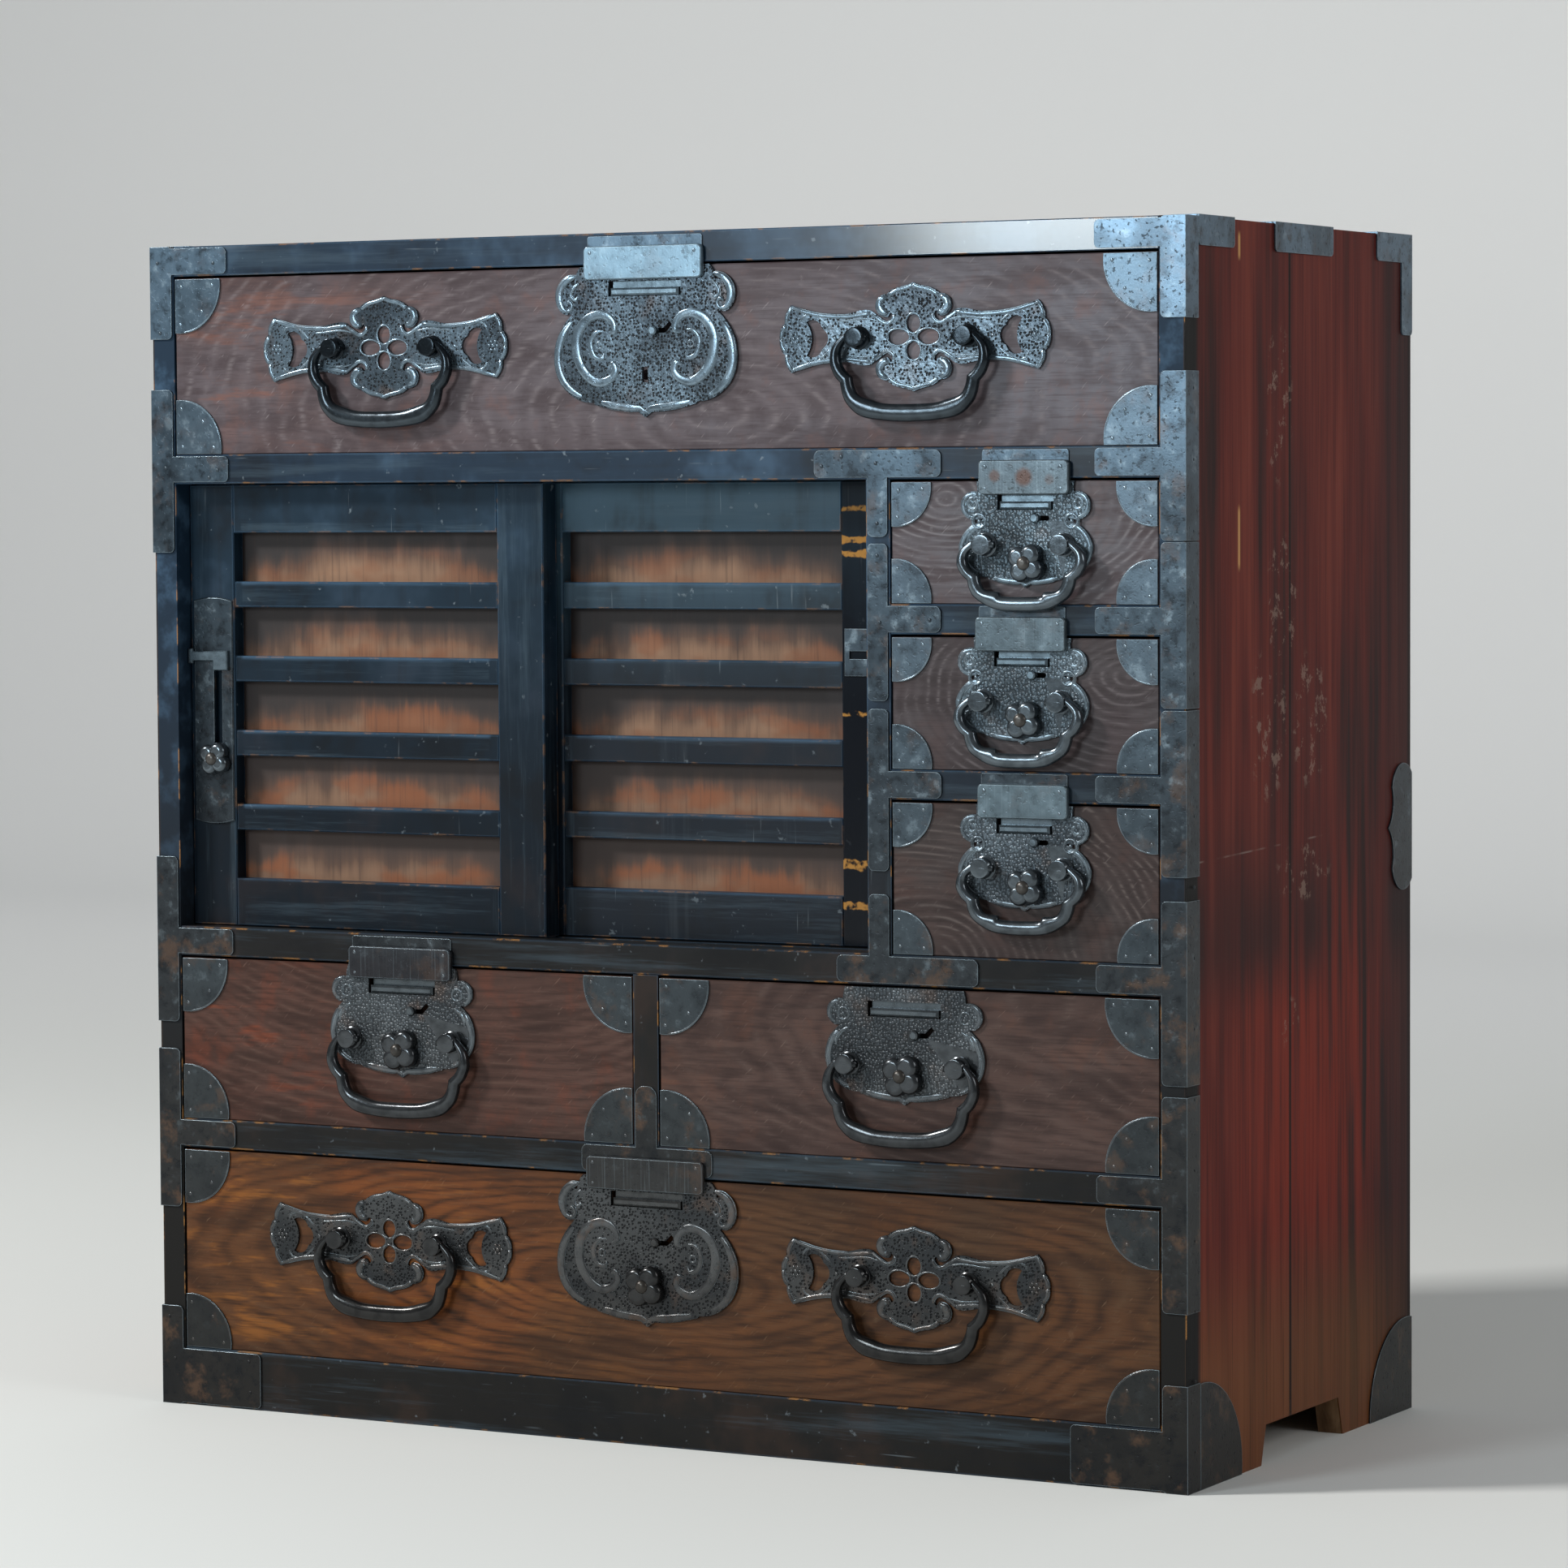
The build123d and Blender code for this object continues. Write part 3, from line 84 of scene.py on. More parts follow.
class Recipe:
    def __init__(self, name):
        self.material = bpy.data.materials.new(name)
        self.material.use_nodes = True
        self.tree = self.material.node_tree
        self.tree.nodes.clear()
        self.shader = self.tree.nodes.new("ShaderNodeBsdfPrincipled")
        out = self.tree.nodes.new("ShaderNodeOutputMaterial")
        self.tree.links.new(self.shader.outputs[0], out.inputs[0])
        place = self.node("TexCoord", {}, {}, "Object")
        self.place = self.node("VectorMath", {"operation": "SCALE"}, {0: place, "Scale": 1000.0})
        self.x, self.y, self.z = self.split(self.place)

    def node(self, kind, settings, inputs, output=0):
        made = self.tree.nodes.new("ShaderNode" + kind)
        for key, value in settings.items():
            if key == "stops":
                ramp = made.color_ramp
                while len(ramp.elements) < len(value):
                    ramp.elements.new(0.5)
                for element, (at, colour) in zip(ramp.elements, value):
                    element.position, element.color = at, colour
            else:
                setattr(made, key, value)
        self.feed(made, inputs)
        return Value(self, made.outputs[output])

    def feed(self, made, inputs):
        for key, value in inputs.items():
            if isinstance(value, Value):
                self.tree.links.new(value.socket, made.inputs[key])
            else:
                made.inputs[key].default_value = value

    def split(self, vector):
        first = self.node("SeparateXYZ", {}, {0: vector})
        outputs = first.socket.node.outputs
        return tuple(Value(self, outputs[n]) for n in range(3))

    def join(self, x, y, z):
        return self.node("CombineXYZ", {}, {0: x, 1: y, 2: z})

    def noise(self, scale=1.0, detail=2.0, rough=0.5, vector=None):
        inputs = {"Vector": vector or self.place, "Scale": scale, "Detail": detail, "Roughness": rough}
        return self.node("TexNoise", {}, inputs)

    def streaks(self, x, y, z, detail=3.0, rough=0.6, shift=0.0, times=1):
        # noise drawn out along an axis: x, y and z are how many changes there are in a metre that way
        x, y, z = (rate * times / 1000 for rate in (x, y, z))
        vector = self.join(self.x * x + shift, self.y * y, self.z * z)
        return self.noise(1.0, detail, rough, vector)

    def mix(self, amount, first, second):
        return self.node("Mix", {"data_type": "RGBA"}, {0: amount, 6: first, 7: second}, 2)

    def lay(self, amount, over):
        # lays a colour, or the code of one, over the colour so far
        self.colour = self.mix(amount, self.colour, tone(over) if isinstance(over, str) else over)

    def ramp(self, amount, stops):
        stops = [(at, tone(code)) for at, code in stops]
        return self.node("ValToRGB", {"stops": stops}, {0: amount})

    def arrises(self, radius, low=0.02, high=0.16):
        # 1 along the sharp edges of a piece: where the rounded normal leaves the flat one
        rounded = self.node("Bevel", {"samples": 4}, {"Radius": radius / 1000})
        flat = self.node("NewGeometry", {}, {}, "Normal")
        away = self.node("VectorMath", {"operation": "DOT_PRODUCT"}, {0: rounded, 1: flat}, "Value")
        return (1 - away).rise(low, high)

    def finish(self, roughness, metallic=0.0, bump=None, depth=0.3, strength=1.0,
               coat=0.0, soften=0.0, level=0.5):
        # depth and soften are in mm; level is the specular level
        links = {"Base Color": self.colour, "Roughness": roughness,
                 "Metallic": metallic, "Coat Weight": coat}
        if bump is not None:
            inputs = {"Height": bump, "Distance": depth / 1000, "Strength": strength}
            if soften:
                inputs["Normal"] = self.node("Bevel", {"samples": 4}, {"Radius": soften / 1000})
            links["Normal"] = self.node("Bump", {}, inputs)
        self.feed(self.shader, {**links, "Specular IOR Level": level, "Coat Roughness": 0.12})
        return self.material


# ---- iron ----

metals = {
    # colour at heights above the floor, mm: paler and bluer upward as painted light and reflection, darker low
    # down as painted shade
    "plate": ((60, "2b2a29"), (300, "424649"), (480, "4b555d"), (700, "56656f"), (880, "45525d")),
    "cover": ((200, "323232"), (365, "29292d"), (505, "596870"), (745, "4f5a61"), (911, "7b95a6")),
    "corner": ((60, "292a2a"), (300, "33383b"), (500, "3f4a52"), (700, "4b5964"), (900, "4e606e")),
    "strap": ((30, "262524"), (250, "2a2b2c"), (450, "2f353a"), (700, "3c4953"), (930, "5a6f80")),
    "worn": ((60, "454341"), (300, "575c60"), (600, "6c7a84"), (900, "6f8290")),
    "bail": ((60, "333231"), (300, "44474a"), (480, "596167"), (700, "596269"), (850, "232a30")),
    "rust": "5f4838",
    # the pale tone: painted highlight on glints and edges, and wear on brushed lines
    "painted_highlight_and_wear": "b4c7d2",
    "pit": "0c0e11",
    "shade": "12161b",
    "cell": 2.4,    # mm across a punched dot
}


def paintedLightByHeight(r, name):
    # the iron is dark and neutral near the floor and bluer and paler near the top: painted shade low down and
    # painted reflected light high up
    stops = metals[name]
    low, high = stops[0][0], stops[-1][0]
    share = ((r.z - low) / (high - low)).most(0)
    return r.ramp(share, [((z - low) / (high - low), code) for z, code in stops])


def punchedIron(name, pebbled):
    # the ground of the chased plates: punched dots on the wide drawers, pebbles on the others
    r = Recipe(name)
    wobble = r.noise(0.25)
    cells = r.node("TexVoronoi", {"feature": "SMOOTH_F1"},
                   {"Vector": r.place, "Scale": 1 / metals["cell"], "Smoothness": 0.2, "Randomness": 0.75})
    hollow = cells.rise(0.36, 0.74) * 0.7 if pebbled else cells.rise(0.46, 0.22)
    stain = r.noise(0.035, 4, 0.6)
    dim = r.noise(0.014)
    r.colour = r.mix(dim.rise(0.4, 0.7) * 0.6, paintedLightByHeight(r, "plate"), tone("1b2025"))
    r.lay(stain.rise(0.54, 0.75) * 0.4, metals["rust"])
    r.lay(stain.rise(0.42, 0.3) * 0.5, "1a1d21")
    r.lay(hollow * (0.7 if pebbled else 0.92), metals["pit"])
    r.lay((1 - hollow) * dim.rise(0.55, 0.4) * 0.35, paintedLightByHeight(r, "worn"))
    roughness = 0.22 + wobble * 0.12 + hollow * 0.35
    depth = 0.6 if pebbled else 0.8
    return r.finish(roughness, 0.6, 1 - hollow + wobble * 0.35, depth, level=0.4)


def flatIron(name, tones, mottled=0.6, brushed=0, soften=0.6, spots=(), rough=0.2):
    # smooth plates: mottled, with painted glints, bright along their edges as partly wear and partly painted
    # highlight, with old stains
    r = Recipe(name)
    mottle = r.noise(0.085, 5, 0.62)
    fine = r.noise(0.6, 3, 0.6)
    pits = r.noise(0.32).rise(0.6, 0.7)
    r.colour = paintedLightByHeight(r, tones)
    cloud = r.noise(0.02, 3, 0.55)
    # painted glint: pale spots laid on the mottle, more of them higher up
    glint = mottle.rise(0.55, 0.72) * 0.25 * r.z.rise(-100, 900) * (0.3 + mottled)
    r.lay(glint, metals["painted_highlight_and_wear"])
    r.lay(mottle.rise(0.5, 0.34) * mottled * 0.8, metals["shade"])
    r.lay(cloud.rise(0.52, 0.36) * mottled * 0.6, metals["shade"])
    r.lay(pits * 0.45 * (mottled + 0.2), metals["pit"])
    if brushed:
        lines = r.streaks(700, 60, 12, detail=2)
        r.lay(lines.rise(0.52, 0.7) * brushed, "2e3a42")
        r.lay(lines.rise(0.46, 0.3) * brushed, metals["painted_highlight_and_wear"])
    rust = r.noise(0.034, 4, 0.65).rise(0.52, 0.68)
    r.lay(rust * (0.35 + r.z.rise(700, 200) * 0.5) * mottled, metals["rust"])
    for x, z, size, amount in spots:
        ragged = ((r.x - x) * (r.x - x) + (r.z - z) * (r.z - z)).root() + (fine - 0.5) * 2.5
        r.lay(ragged.rise(size, size * 0.45) * amount, "4a2c1c")
    r.lay(r.arrises(0.9) * 0.5, metals["painted_highlight_and_wear"])
    roughness = rough + mottle * 0.2 + pits * 0.15
    height = mottle * 0.5 + fine * 0.35 - pits * 0.5
    return r.finish(roughness, 0.65, height, 0.22, 0.6, soften=soften, level=0.4)


def handledIron(name, rough, metallic=0.85, ends=()):
    # bails, posts and knobs, worn smooth by hands; ends are the tones at the floor and at the top, the paler,
    # bluer top one painted light
    r = Recipe(name)
    dents = r.noise(0.09)
    fine = r.noise(0.7, 3, 0.6)
    r.colour = r.mix(r.z.rise(80, 820), *[tone(code) for code in ends]) if ends else paintedLightByHeight(r, "bail")
    r.lay(dents.rise(0.42, 0.7) * 0.4, "0e1013")
    r.lay(fine.rise(0.58, 0.74) * 0.14, paintedLightByHeight(r, "worn"))
    return r.finish(rough + fine * 0.14, metallic, dents + fine * 0.12, 0.4, 0.5)


irons = {
    "punched": punchedIron("ironPunched", False),
    "pebbled": punchedIron("ironPebbled", True),
    "relief": flatIron("ironRelief", "worn", 0.45, rough=0.12),
    # dark strips that stand in as the painted shade of grooves
    "groove": flatIron("ironPaintedGrooveShade", "plate", 0.8, soften=0),
    "strap": flatIron("ironStrap", "strap", 0.75),
    "corner": flatIron("ironCorner", "corner", 0.45),
    "cover": flatIron("ironCover", "cover", 0.3, brushed=0.06,
                      spots=((327, 746, 9, 0.75), (303, 747, 6, 0.6), (348, 744, 5, 0.35))),
    "bail": handledIron("ironBail", 0.14),
    "post": handledIron("ironPost", 0.12),
    "knob": handledIron("ironKnob", 0.16),
    "boss": handledIron("ironBoss", 0.26, 0.6, ("37332f", "4e4c4a")),
    "nail": handledIron("ironNail", 0.3, 0.75, ("232324", "3c464e")),
    "works": handledIron("ironWorks", 0.22, 0.8, ("454443", "6f818d")),
}
print("iron finishes made:", len(irons))


# ---- wood ----

lookKeys = (
    # six tones; then the figure's centre in mm, how far it is drawn out along x, its ring width and strengths,
    # where along x the wood turns warm, and the height of the front's middle and half its height
    "dark", "mid", "warm", "glow", "painted_sheen", "scratch",
    "centre", "long", "ring", "contrast", "figure", "cloud", "warmSide", "middle", "reach",
)
# the tones are the wood's own colour, and on the upper drawers also a painted grey reflection of light from
# above; the sheen tone is painted reflection
lookRows = {
    "drawer_top": (
        "382c2f", "584f53", "563f3b", "744c40", "62626a", "a39a9c",
        (60, 800), 2.2, 9, 0.2, 0.2, 0.5, (-100, -380), 839, 71),
    "drawer_small_high": (
        "37292b", "54494c", "5d423f", "70534c", "606167", "9b979a",
        (260, 730), 1.5, 6, 0.22, 0.34, 0.45, (240, 0), 698, 46),
    "drawer_small_middle": (
        "251b1c", "3f3335", "4c322e", "503630", "464244", "7c7476",
        (410, 600), 1.6, 6, 0.25, 0.34, 0.4, (240, 0), 578, 50),
    "drawer_small_low": (
        "211615", "3a2d2b", "4e3026", "513228", "403938", "756a66",
        (250, 380), 1.3, 6.5, 0.3, 0.36, 0.4, (300, 100), 446, 58),
    "drawer_middle_left": (
        "26150f", "4a3129", "5c2e20", "78371c", "54403a", "84695c",
        (-180, 480), 1.7, 8, 0.4, 0.16, 0.4, (-200, -420), 299, 66),
    "drawer_middle_right": (
        "281916", "46322c", "5a3a29", "633c2a", "503f3a", "7d6a62",
        (700, 330), 5, 7, 0.4, 0.16, 0.4, (150, 0), 299, 66),
    "drawer_bottom": (
        "281508", "55341b", "6e3c18", "8a5420", "43301f", "80654c",
        (-20, 125), 4.6, 7.5, 0.62, 0.1, 0.15, (150, -300), 128, 81),
}
looks = {name: dict(zip(lookKeys, row)) for name, row in lookRows.items()}
plainTones = {"dark": "5d4531", "mid": "84664a", "pale": "9c7f60"}
frontPlane = -208.5     # mm: the chest's front
frontDepth = -187     # mm: what lies behind this plane is bare wood
bareRough = 0.66
grimeTone, seamTone = "1c1210", "150d0c"


def bareWood(r, along):
    # unfinished cedar boards; the grain runs along the axis named
    rates = {"x": (3, 60, 90), "y": (60, 3, 90), "z": (60, 60, 3)}[along]
    grain = r.streaks(*rates, detail=4)
    fine = r.streaks(*rates, times=5, detail=2)
    colour = r.ramp(grain, [(0.3, plainTones["dark"]), (0.5, plainTones["mid"]), (0.68, plainTones["pale"])])
    return r.mix(fine.rise(0.5, 0.7) * 0.3, colour, tone(plainTones["dark"])), fine


def drawerWood(name, look):
    r, dark = Recipe(name + "Wood"), look["dark"]
    warp = r.streaks(5, 20, 16, detail=2, shift=look["centre"][0] / 100)
    drift = r.streaks(2.2, 9, 7, detail=1, shift=look["centre"][1] / 90)
    u = (r.x - look["centre"][0]) / look["long"]
    v = r.z - look["centre"][1]
    reach = (u * u + v * v).root() + warp * 26 + drift * 50
    ring = (reach * (2 * pi / look["ring"])).sine() * 0.5 + 0.5
    broad = (reach * (2 * pi / (look["ring"] * 5.3))).sine() * 0.5 + 0.5
    fibre = r.streaks(14, 40, 420)
    pores = r.streaks(45, 60, 900, detail=1)
    patch = r.noise(0.008, 3)
    cloud = r.noise(0.03, 4, 0.6)
    slant = r.join((r.x + r.z) * 0.045, 0, (r.z - r.x) * 0.4)
    scratch = r.noise(1, 2, 0.6, slant).rise(0.64, 0.74)
    lines = (ring ** 3) * (fibre.rise(0.3, 0.65) * 0.6 + 0.4)
    warmth = r.x.rise(*look["warmSide"])
    r.colour = r.mix(warmth * patch.rise(0.35, 0.6), tone(look["mid"]), tone(look["warm"]))
    # painted reflection: the sheen tone laid in patches towards the right side
    r.lay(r.x.rise(-250, 330) * patch.rise(0.65, 0.4) * 0.7, look["painted_sheen"])
    flow = r.streaks(9, 20, 50, detail=4, rough=0.65, shift=look["centre"][0] / 70)
    r.lay(flow.rise(0.48, 0.62) * 0.55, dark)
    r.lay(flow.rise(0.46, 0.34) * warmth * 0.7, look["glow"])
    r.lay(cloud.rise(0.46, 0.68) * look["cloud"], dark)
    r.lay(cloud.rise(0.47, 0.3) * look["cloud"] * 0.6, look["glow"])
    edges = r.z.near(look["middle"], look["reach"] - 26, look["reach"]) * 0.45
    r.lay(edges * (0.4 + cloud), dark)
    r.lay(fibre.rise(0.5, 0.66) * 0.3, dark)
    r.lay(lines * look["contrast"] * (0.5 + patch) + broad * 0.2 * look["contrast"], dark)
    r.lay(pores.rise(0.6, 0.72) * 0.3, dark)
    crest = ((1 - ring) ** 4) * cloud.rise(0.4, 0.62) * fibre.rise(0.35, 0.6)
    r.lay(crest * look["figure"], look["scratch"])
    scuff = r.noise(0.06, 5, 0.7).rise(0.64, 0.8) * 0.2
    r.lay(scuff.most(scratch * 0.28), look["scratch"])
    r.lay(r.arrises(1) * r.noise(0.05, 3).rise(0.45, 0.6) * 0.7, grimeTone)
    bare, fine = bareWood(r, "x")
    facing = r.split(r.node("TexCoord", {}, {}, "Normal"))[0].size().rise(0.4, 0.6)
    bare = r.mix(facing, bare, bareWood(r, "y")[0])
    front = r.y.rise(frontDepth + 0.8, frontDepth - 0.8)
    r.colour = r.mix(front, bare, r.colour)
    height = (1 - lines) * 0.5 + (1 - pores.rise(0.6, 0.72)) * 0.3 + fine * 0.2
    return r.finish(0.62 - front * 0.22 + patch * 0.1, 0, height, 0.12, 0.5, level=0.2)


def plainBoards(name, along, pitch=0):
    # boards side by side, a pitch apart in x, each with grain of its own
    r = Recipe(name)
    r.colour, fine = bareWood(r, along)
    if pitch:
        across = r.x.cycle(pitch)
        board = (r.x - across) / pitch
        shade = r.noise(1, 0, vector=r.join(board * 7.3 + 0.4, 0.5, 0.5))
        r.lay(shade.rise(0.35, 0.65) * 0.35, plainTones["dark"])
        seam = (across - pitch / 2).size().rise(pitch / 2 - 2.2, pitch / 2 - 0.8)
        r.lay(seam * 0.85, "1e1510")
    return r.finish(bareRough, 0, fine, 0.15, 0.5)


fields = {
    # the doors' fields: their middles either side of the chest's own, half their width, heights and tones
    "left": 268, "right": 31, "half": 116, "lowest": 427.6, "pitch": 59.7, "high": 39.2,
    "dark": "231d1d", "mid": "503a2e", "pale": "8b6a52", "amber": "7a4424",
}


def nearestField(r):
    # how far a place is, across, from the middle of its own door's fields
    return (r.x + fields["left"]).size().least((r.x - fields["right"]).size())


lacquers = {
    # high is the bluer tone laid on upper parts as painted reflected light; the sheen tone is a painted
    # highlight
    "low": "181716", "high": "182a3b", "painted_sheen": "4d6a85", "worn": "a8763f",
    "scratch": "8e9aa2", "smear": "4a5c68",
}


def blackLacquer(name, along, behind, tint=None, low=None, wear=1, bands=(), gloss=0.5, rough=0.28,
                 lit=(330, 720), coat=0, crossed=False):
    # behind is the depth in mm where the lacquer ends and bare wood starts; lit gives the heights over which
    # the colour turns from low to the bluer tint, a painted reflection of light from above
    r = Recipe(name)
    rates = {"x": (3, 50, 60), "z": (60, 50, 3)}[along]
    brushed = r.streaks(*rates, detail=4)
    cloud = r.noise(0.012, 4, 0.6)
    specks = r.noise(0.11, 3, 0.6).rise(0.66, 0.74)
    scratches = r.streaks(*rates, times=4, detail=2).rise(0.7, 0.78)
    # level is 0 low down and 1 high up: it lays the painted reflection and painted sheen on the upper parts,
    # makes rubs, specks and scratches show more there, and brown patches more below
    level = r.z.rise(*lit)
    r.colour = r.mix(level, tone(low or lacquers["low"]), tone(tint or lacquers["high"]))
    r.lay(cloud.rise(0.5, 0.68) * level * 0.32 * wear, lacquers["painted_sheen"])
    r.lay(cloud.rise(0.5, 0.34) * 0.6, "0d0f12")
    rub = r.streaks(*rates, times=0.4, detail=5, rough=0.75)
    r.lay(rub.rise(0.6, 0.74) * 0.22 * (0.4 + level * 0.6) * wear, lacquers["scratch"])
    r.lay(brushed.rise(0.5, 0.7) * 0.3, "14161a")
    r.lay(cloud.rise(0.52, 0.7) * (1 - level) * 0.32 * wear, "3d2c23")
    r.lay((specks * 0.4 + scratches * 0.3) * (0.6 + level * 0.4), lacquers["scratch"])
    edge = r.arrises(1.6, 0.01, 0.1)
    rubbed = edge * r.noise(0.045, 4, 0.65).rise(0.53, 0.62) * wear
    smear = r.streaks(*rates, times=0.7, detail=6, rough=0.75, shift=2)
    if crossed:
        # the doors' rails and battens run across, between their stiles
        between = nearestField(r).rise(119, 115)
        acrossGrain = r.streaks(2.1, 35, 42, detail=6, rough=0.75, shift=5)
        smear = smear * (1 - between) + acrossGrain * between
        # painted highlight on the upper part of each batten
        aboveField = (r.z - fields["lowest"] - fields["high"]).cycle(fields["pitch"])
        paintedBattenHighlight = aboveField.rise(16.5, 20) * between * r.z.rise(424, 428) * r.z.rise(706, 702)
        r.lay(paintedBattenHighlight * 0.45 * smear.rise(0.35, 0.6), lacquers["painted_sheen"])
    smear = smear.rise(0.5, 0.68)
    r.lay(smear * 0.28, lacquers["smear"])
    # painted highlight along the arrises, stronger higher up
    r.lay(edge * (0.25 + 0.25 * level), lacquers["painted_sheen"])
    r.lay(rubbed, lacquers["worn"])
    shine = rough + cloud * 0.14 + rubbed * 0.2
    if bands:
        # the leading stile: polished by hands, and worn through in bands
        ragged = r.z + (r.noise(0.12, 3) - 0.5) * 8
        worn = reduce(Value.most, [ragged.near(at, half, half - 1.2) for at, half in bands])
        stile = r.x.rise(149.6, 150.2)
        r.lay(stile * 0.85, "0b0e14")
        r.lay(worn * stile * r.noise(0.2, 3).rise(0.35, 0.55), "9c7038")
        shine = shine * (1 - stile * 0.6)
    bare, fine = bareWood(r, along)
    front = r.y.rise(behind + 0.6, behind - 0.6)
    r.colour = r.mix(front, bare, r.colour)
    shine = shine * front + (1 - front) * bareRough
    height = brushed * 0.5 + cloud * 0.3 - specks * 0.3 + fine * (1 - front) * 0.3
    coated = r.z.rise(560, 900) * r.y.rise(-160, -200) * coat
    return r.finish(shine, 0, height, 0.12, 0.4, coat=coated, level=gloss)


def doorField(name):
    # each field between two battens is dark at its top and towards its sides, a painted shadow of the batten
    # above and of the stiles, and pale below
    r = Recipe(name)
    share = (r.z - fields["lowest"]).cycle(fields["pitch"]) / fields["high"]
    runs = r.streaks(130, 40, 9, detail=4, rough=0.7)
    broad = r.streaks(26, 20, 12, detail=2)
    fine = r.streaks(420, 60, 14, detail=2)
    side = nearestField(r) / fields["half"]
    # pale is low under each batten's painted shadow and near the field's sides, and higher further down
    pale = (0.95 - share - (side ** 3) * 0.35 + (runs - 0.5) * 0.45 + (broad - 0.5) * 1.1).rise(0.08, 1)
    r.colour = r.ramp(pale, [(0, fields["dark"]), (0.45, fields["mid"]), (1, fields["pale"])])
    r.lay(r.z.rise(620, 420) * 0.3, fields["mid"])
    amber = r.streaks(16, 20, 24, shift=4).rise(0.42, 0.62) * pale.rise(0.1, 0.6)
    r.lay(amber * (0.4 + r.z.rise(720, 480) * 0.4), fields["amber"])
    r.lay(fine.rise(0.54, 0.7) * 0.3, "352825")
    r.lay(broad.rise(0.55, 0.7) * 0.3 * (1 - pale), "3e383b")
    return r.finish(0.5 + fine * 0.12, 0, runs * 0.6 + fine * 0.4, 0.12, 0.5, level=0.3)


sideLook = {
    "dark": "250907", "mid": "5a180e", "warm": "7c3424", "hot": "852308", "floor": "77502e", "black": "100f0f",
    "wrap": 20, "seam": 190,
    # each: distance behind the front, height, half width and half height
    "scuffs": ((150, 560, 40, 70), (228, 560, 40, 60), (175, 650, 34, 60),
               (170, 800, 30, 70), (215, 445, 60, 26), (190, 330, 20, 24)),
}


def sideWood(name):
    r = Recipe(name)
    back = r.y - frontPlane
    right = r.x.rise(-1, 1)
    streak = r.streaks(20, 60, 3)
    fine = r.streaks(60, 420, 6)
    broad = r.streaks(6, 16, 1.6, detail=2)
    zone = back.near(245, 80, 15) * r.z.rise(560, 760)
    zone = zone.most(back.near(105, 40, 8) * r.z.rise(480, 620) * 0.6)
    heat = (streak - 0.5) * 1.3 + (broad - 0.5) * 1.1 + zone * 0.25 + 0.4
    r.colour = r.ramp(heat, [(0.05, sideLook["dark"]), (0.42, sideLook["mid"]), (0.95, sideLook["warm"])])
    hot = back.near(235, 190, 60) * r.z.near(300, 210, 80) * streak.rise(0.35, 0.62)
    r.lay(hot * (0.15 + right * 0.5), sideLook["hot"])
    # paler and tan towards the floor: a painted reflection of the floor
    r.lay(r.z.rise(190, 50) * 0.75 * (0.5 + streak * 0.6), sideLook["floor"])
    r.lay(r.z.rise(330, 400) * r.z.rise(520, 400) * (broad.rise(0.4, 0.6) * 0.6 + 0.2), "1f0a0b")
    r.lay(fine.rise(0.52, 0.7) * 0.4, sideLook["dark"])
    r.lay(back.rise(330, 425) * 0.65, "1c1416")
    r.lay(back.near(sideLook["seam"], 3.4, 1) * 0.92, seamTone)
    rims = back.rise(27, 21).most(back.rise(420, 426)) * streak.rise(0.3, 0.5)
    r.lay(rims * 0.8, seamTone)
    flakes = r.noise(0.055, 6, 0.72)
    for at, height, wide, high in sideLook["scuffs"]:
        near = (((back - at) / wide) ** 2 + ((r.z - height) / high) ** 2).rise(1, 0)
        r.lay(near.rise(0, 0.5) * flakes.rise(0.55, 0.6) * right * 0.55, "8b7468")
    chip = back.near(96, 2.6, 1.2) * r.z.near(700, 26, 18)
    chip = chip.most(back.near(97, 2.6, 1.2) * r.z.near(916, 12, 6))
    r.lay(chip * right, "b98a55")
    scratch = (r.z - 467 - (back - 150) * 0.03).size().rise(0.9, 0.4) * broad.rise(0.52, 0.6)
    r.lay(scratch * back.rise(300, 260) * right * 0.35, "9b8f88")
    outer = r.x.size().rise(453.6, 454.4).most(r.z.rise(933.6, 934.4))
    fore = back.rise(sideLook["wrap"] + 0.6, sideLook["wrap"] - 0.6)
    # the front wrap's lacquer: bluer higher up, with painted sheen patches there, a painted reflection of
    # light from above
    level = r.z.rise(200, 800)
    lacquer = r.mix(level, tone(lacquers["low"]), tone(lacquers["high"]))
    paintedSheenNoise = r.noise(0.03, 4, 0.6)
    lacquer = r.mix(paintedSheenNoise.rise(0.45, 0.65) * level * 0.4, lacquer, tone(lacquers["painted_sheen"]))
    edge = r.arrises(1.8, 0.01, 0.1) * r.noise(0.03, 4, 0.65).rise(0.52, 0.6)
    lacquer = r.mix(edge, lacquer, tone(lacquers["worn"]))
    bare, grain = bareWood(r, "z")
    r.colour = r.mix(outer, bare, r.colour)
    r.lay(fore * outer, sideLook["black"])
    face = back.rise(44, 42) * (1 - outer)
    r.lay(face.most(edge * fore), lacquer)
    roughness = 0.4 + fine * 0.14 + (1 - outer.most(face)) * 0.2
    return r.finish(roughness, 0, fine * 0.5 + streak * 0.3 + grain * 0.2, 0.18, 0.5, level=0.12)


railDepth, noBare = -165, 400   # mm: the lacquer ends behind the first, or never
backPitch = 217.25                  # mm from board to board
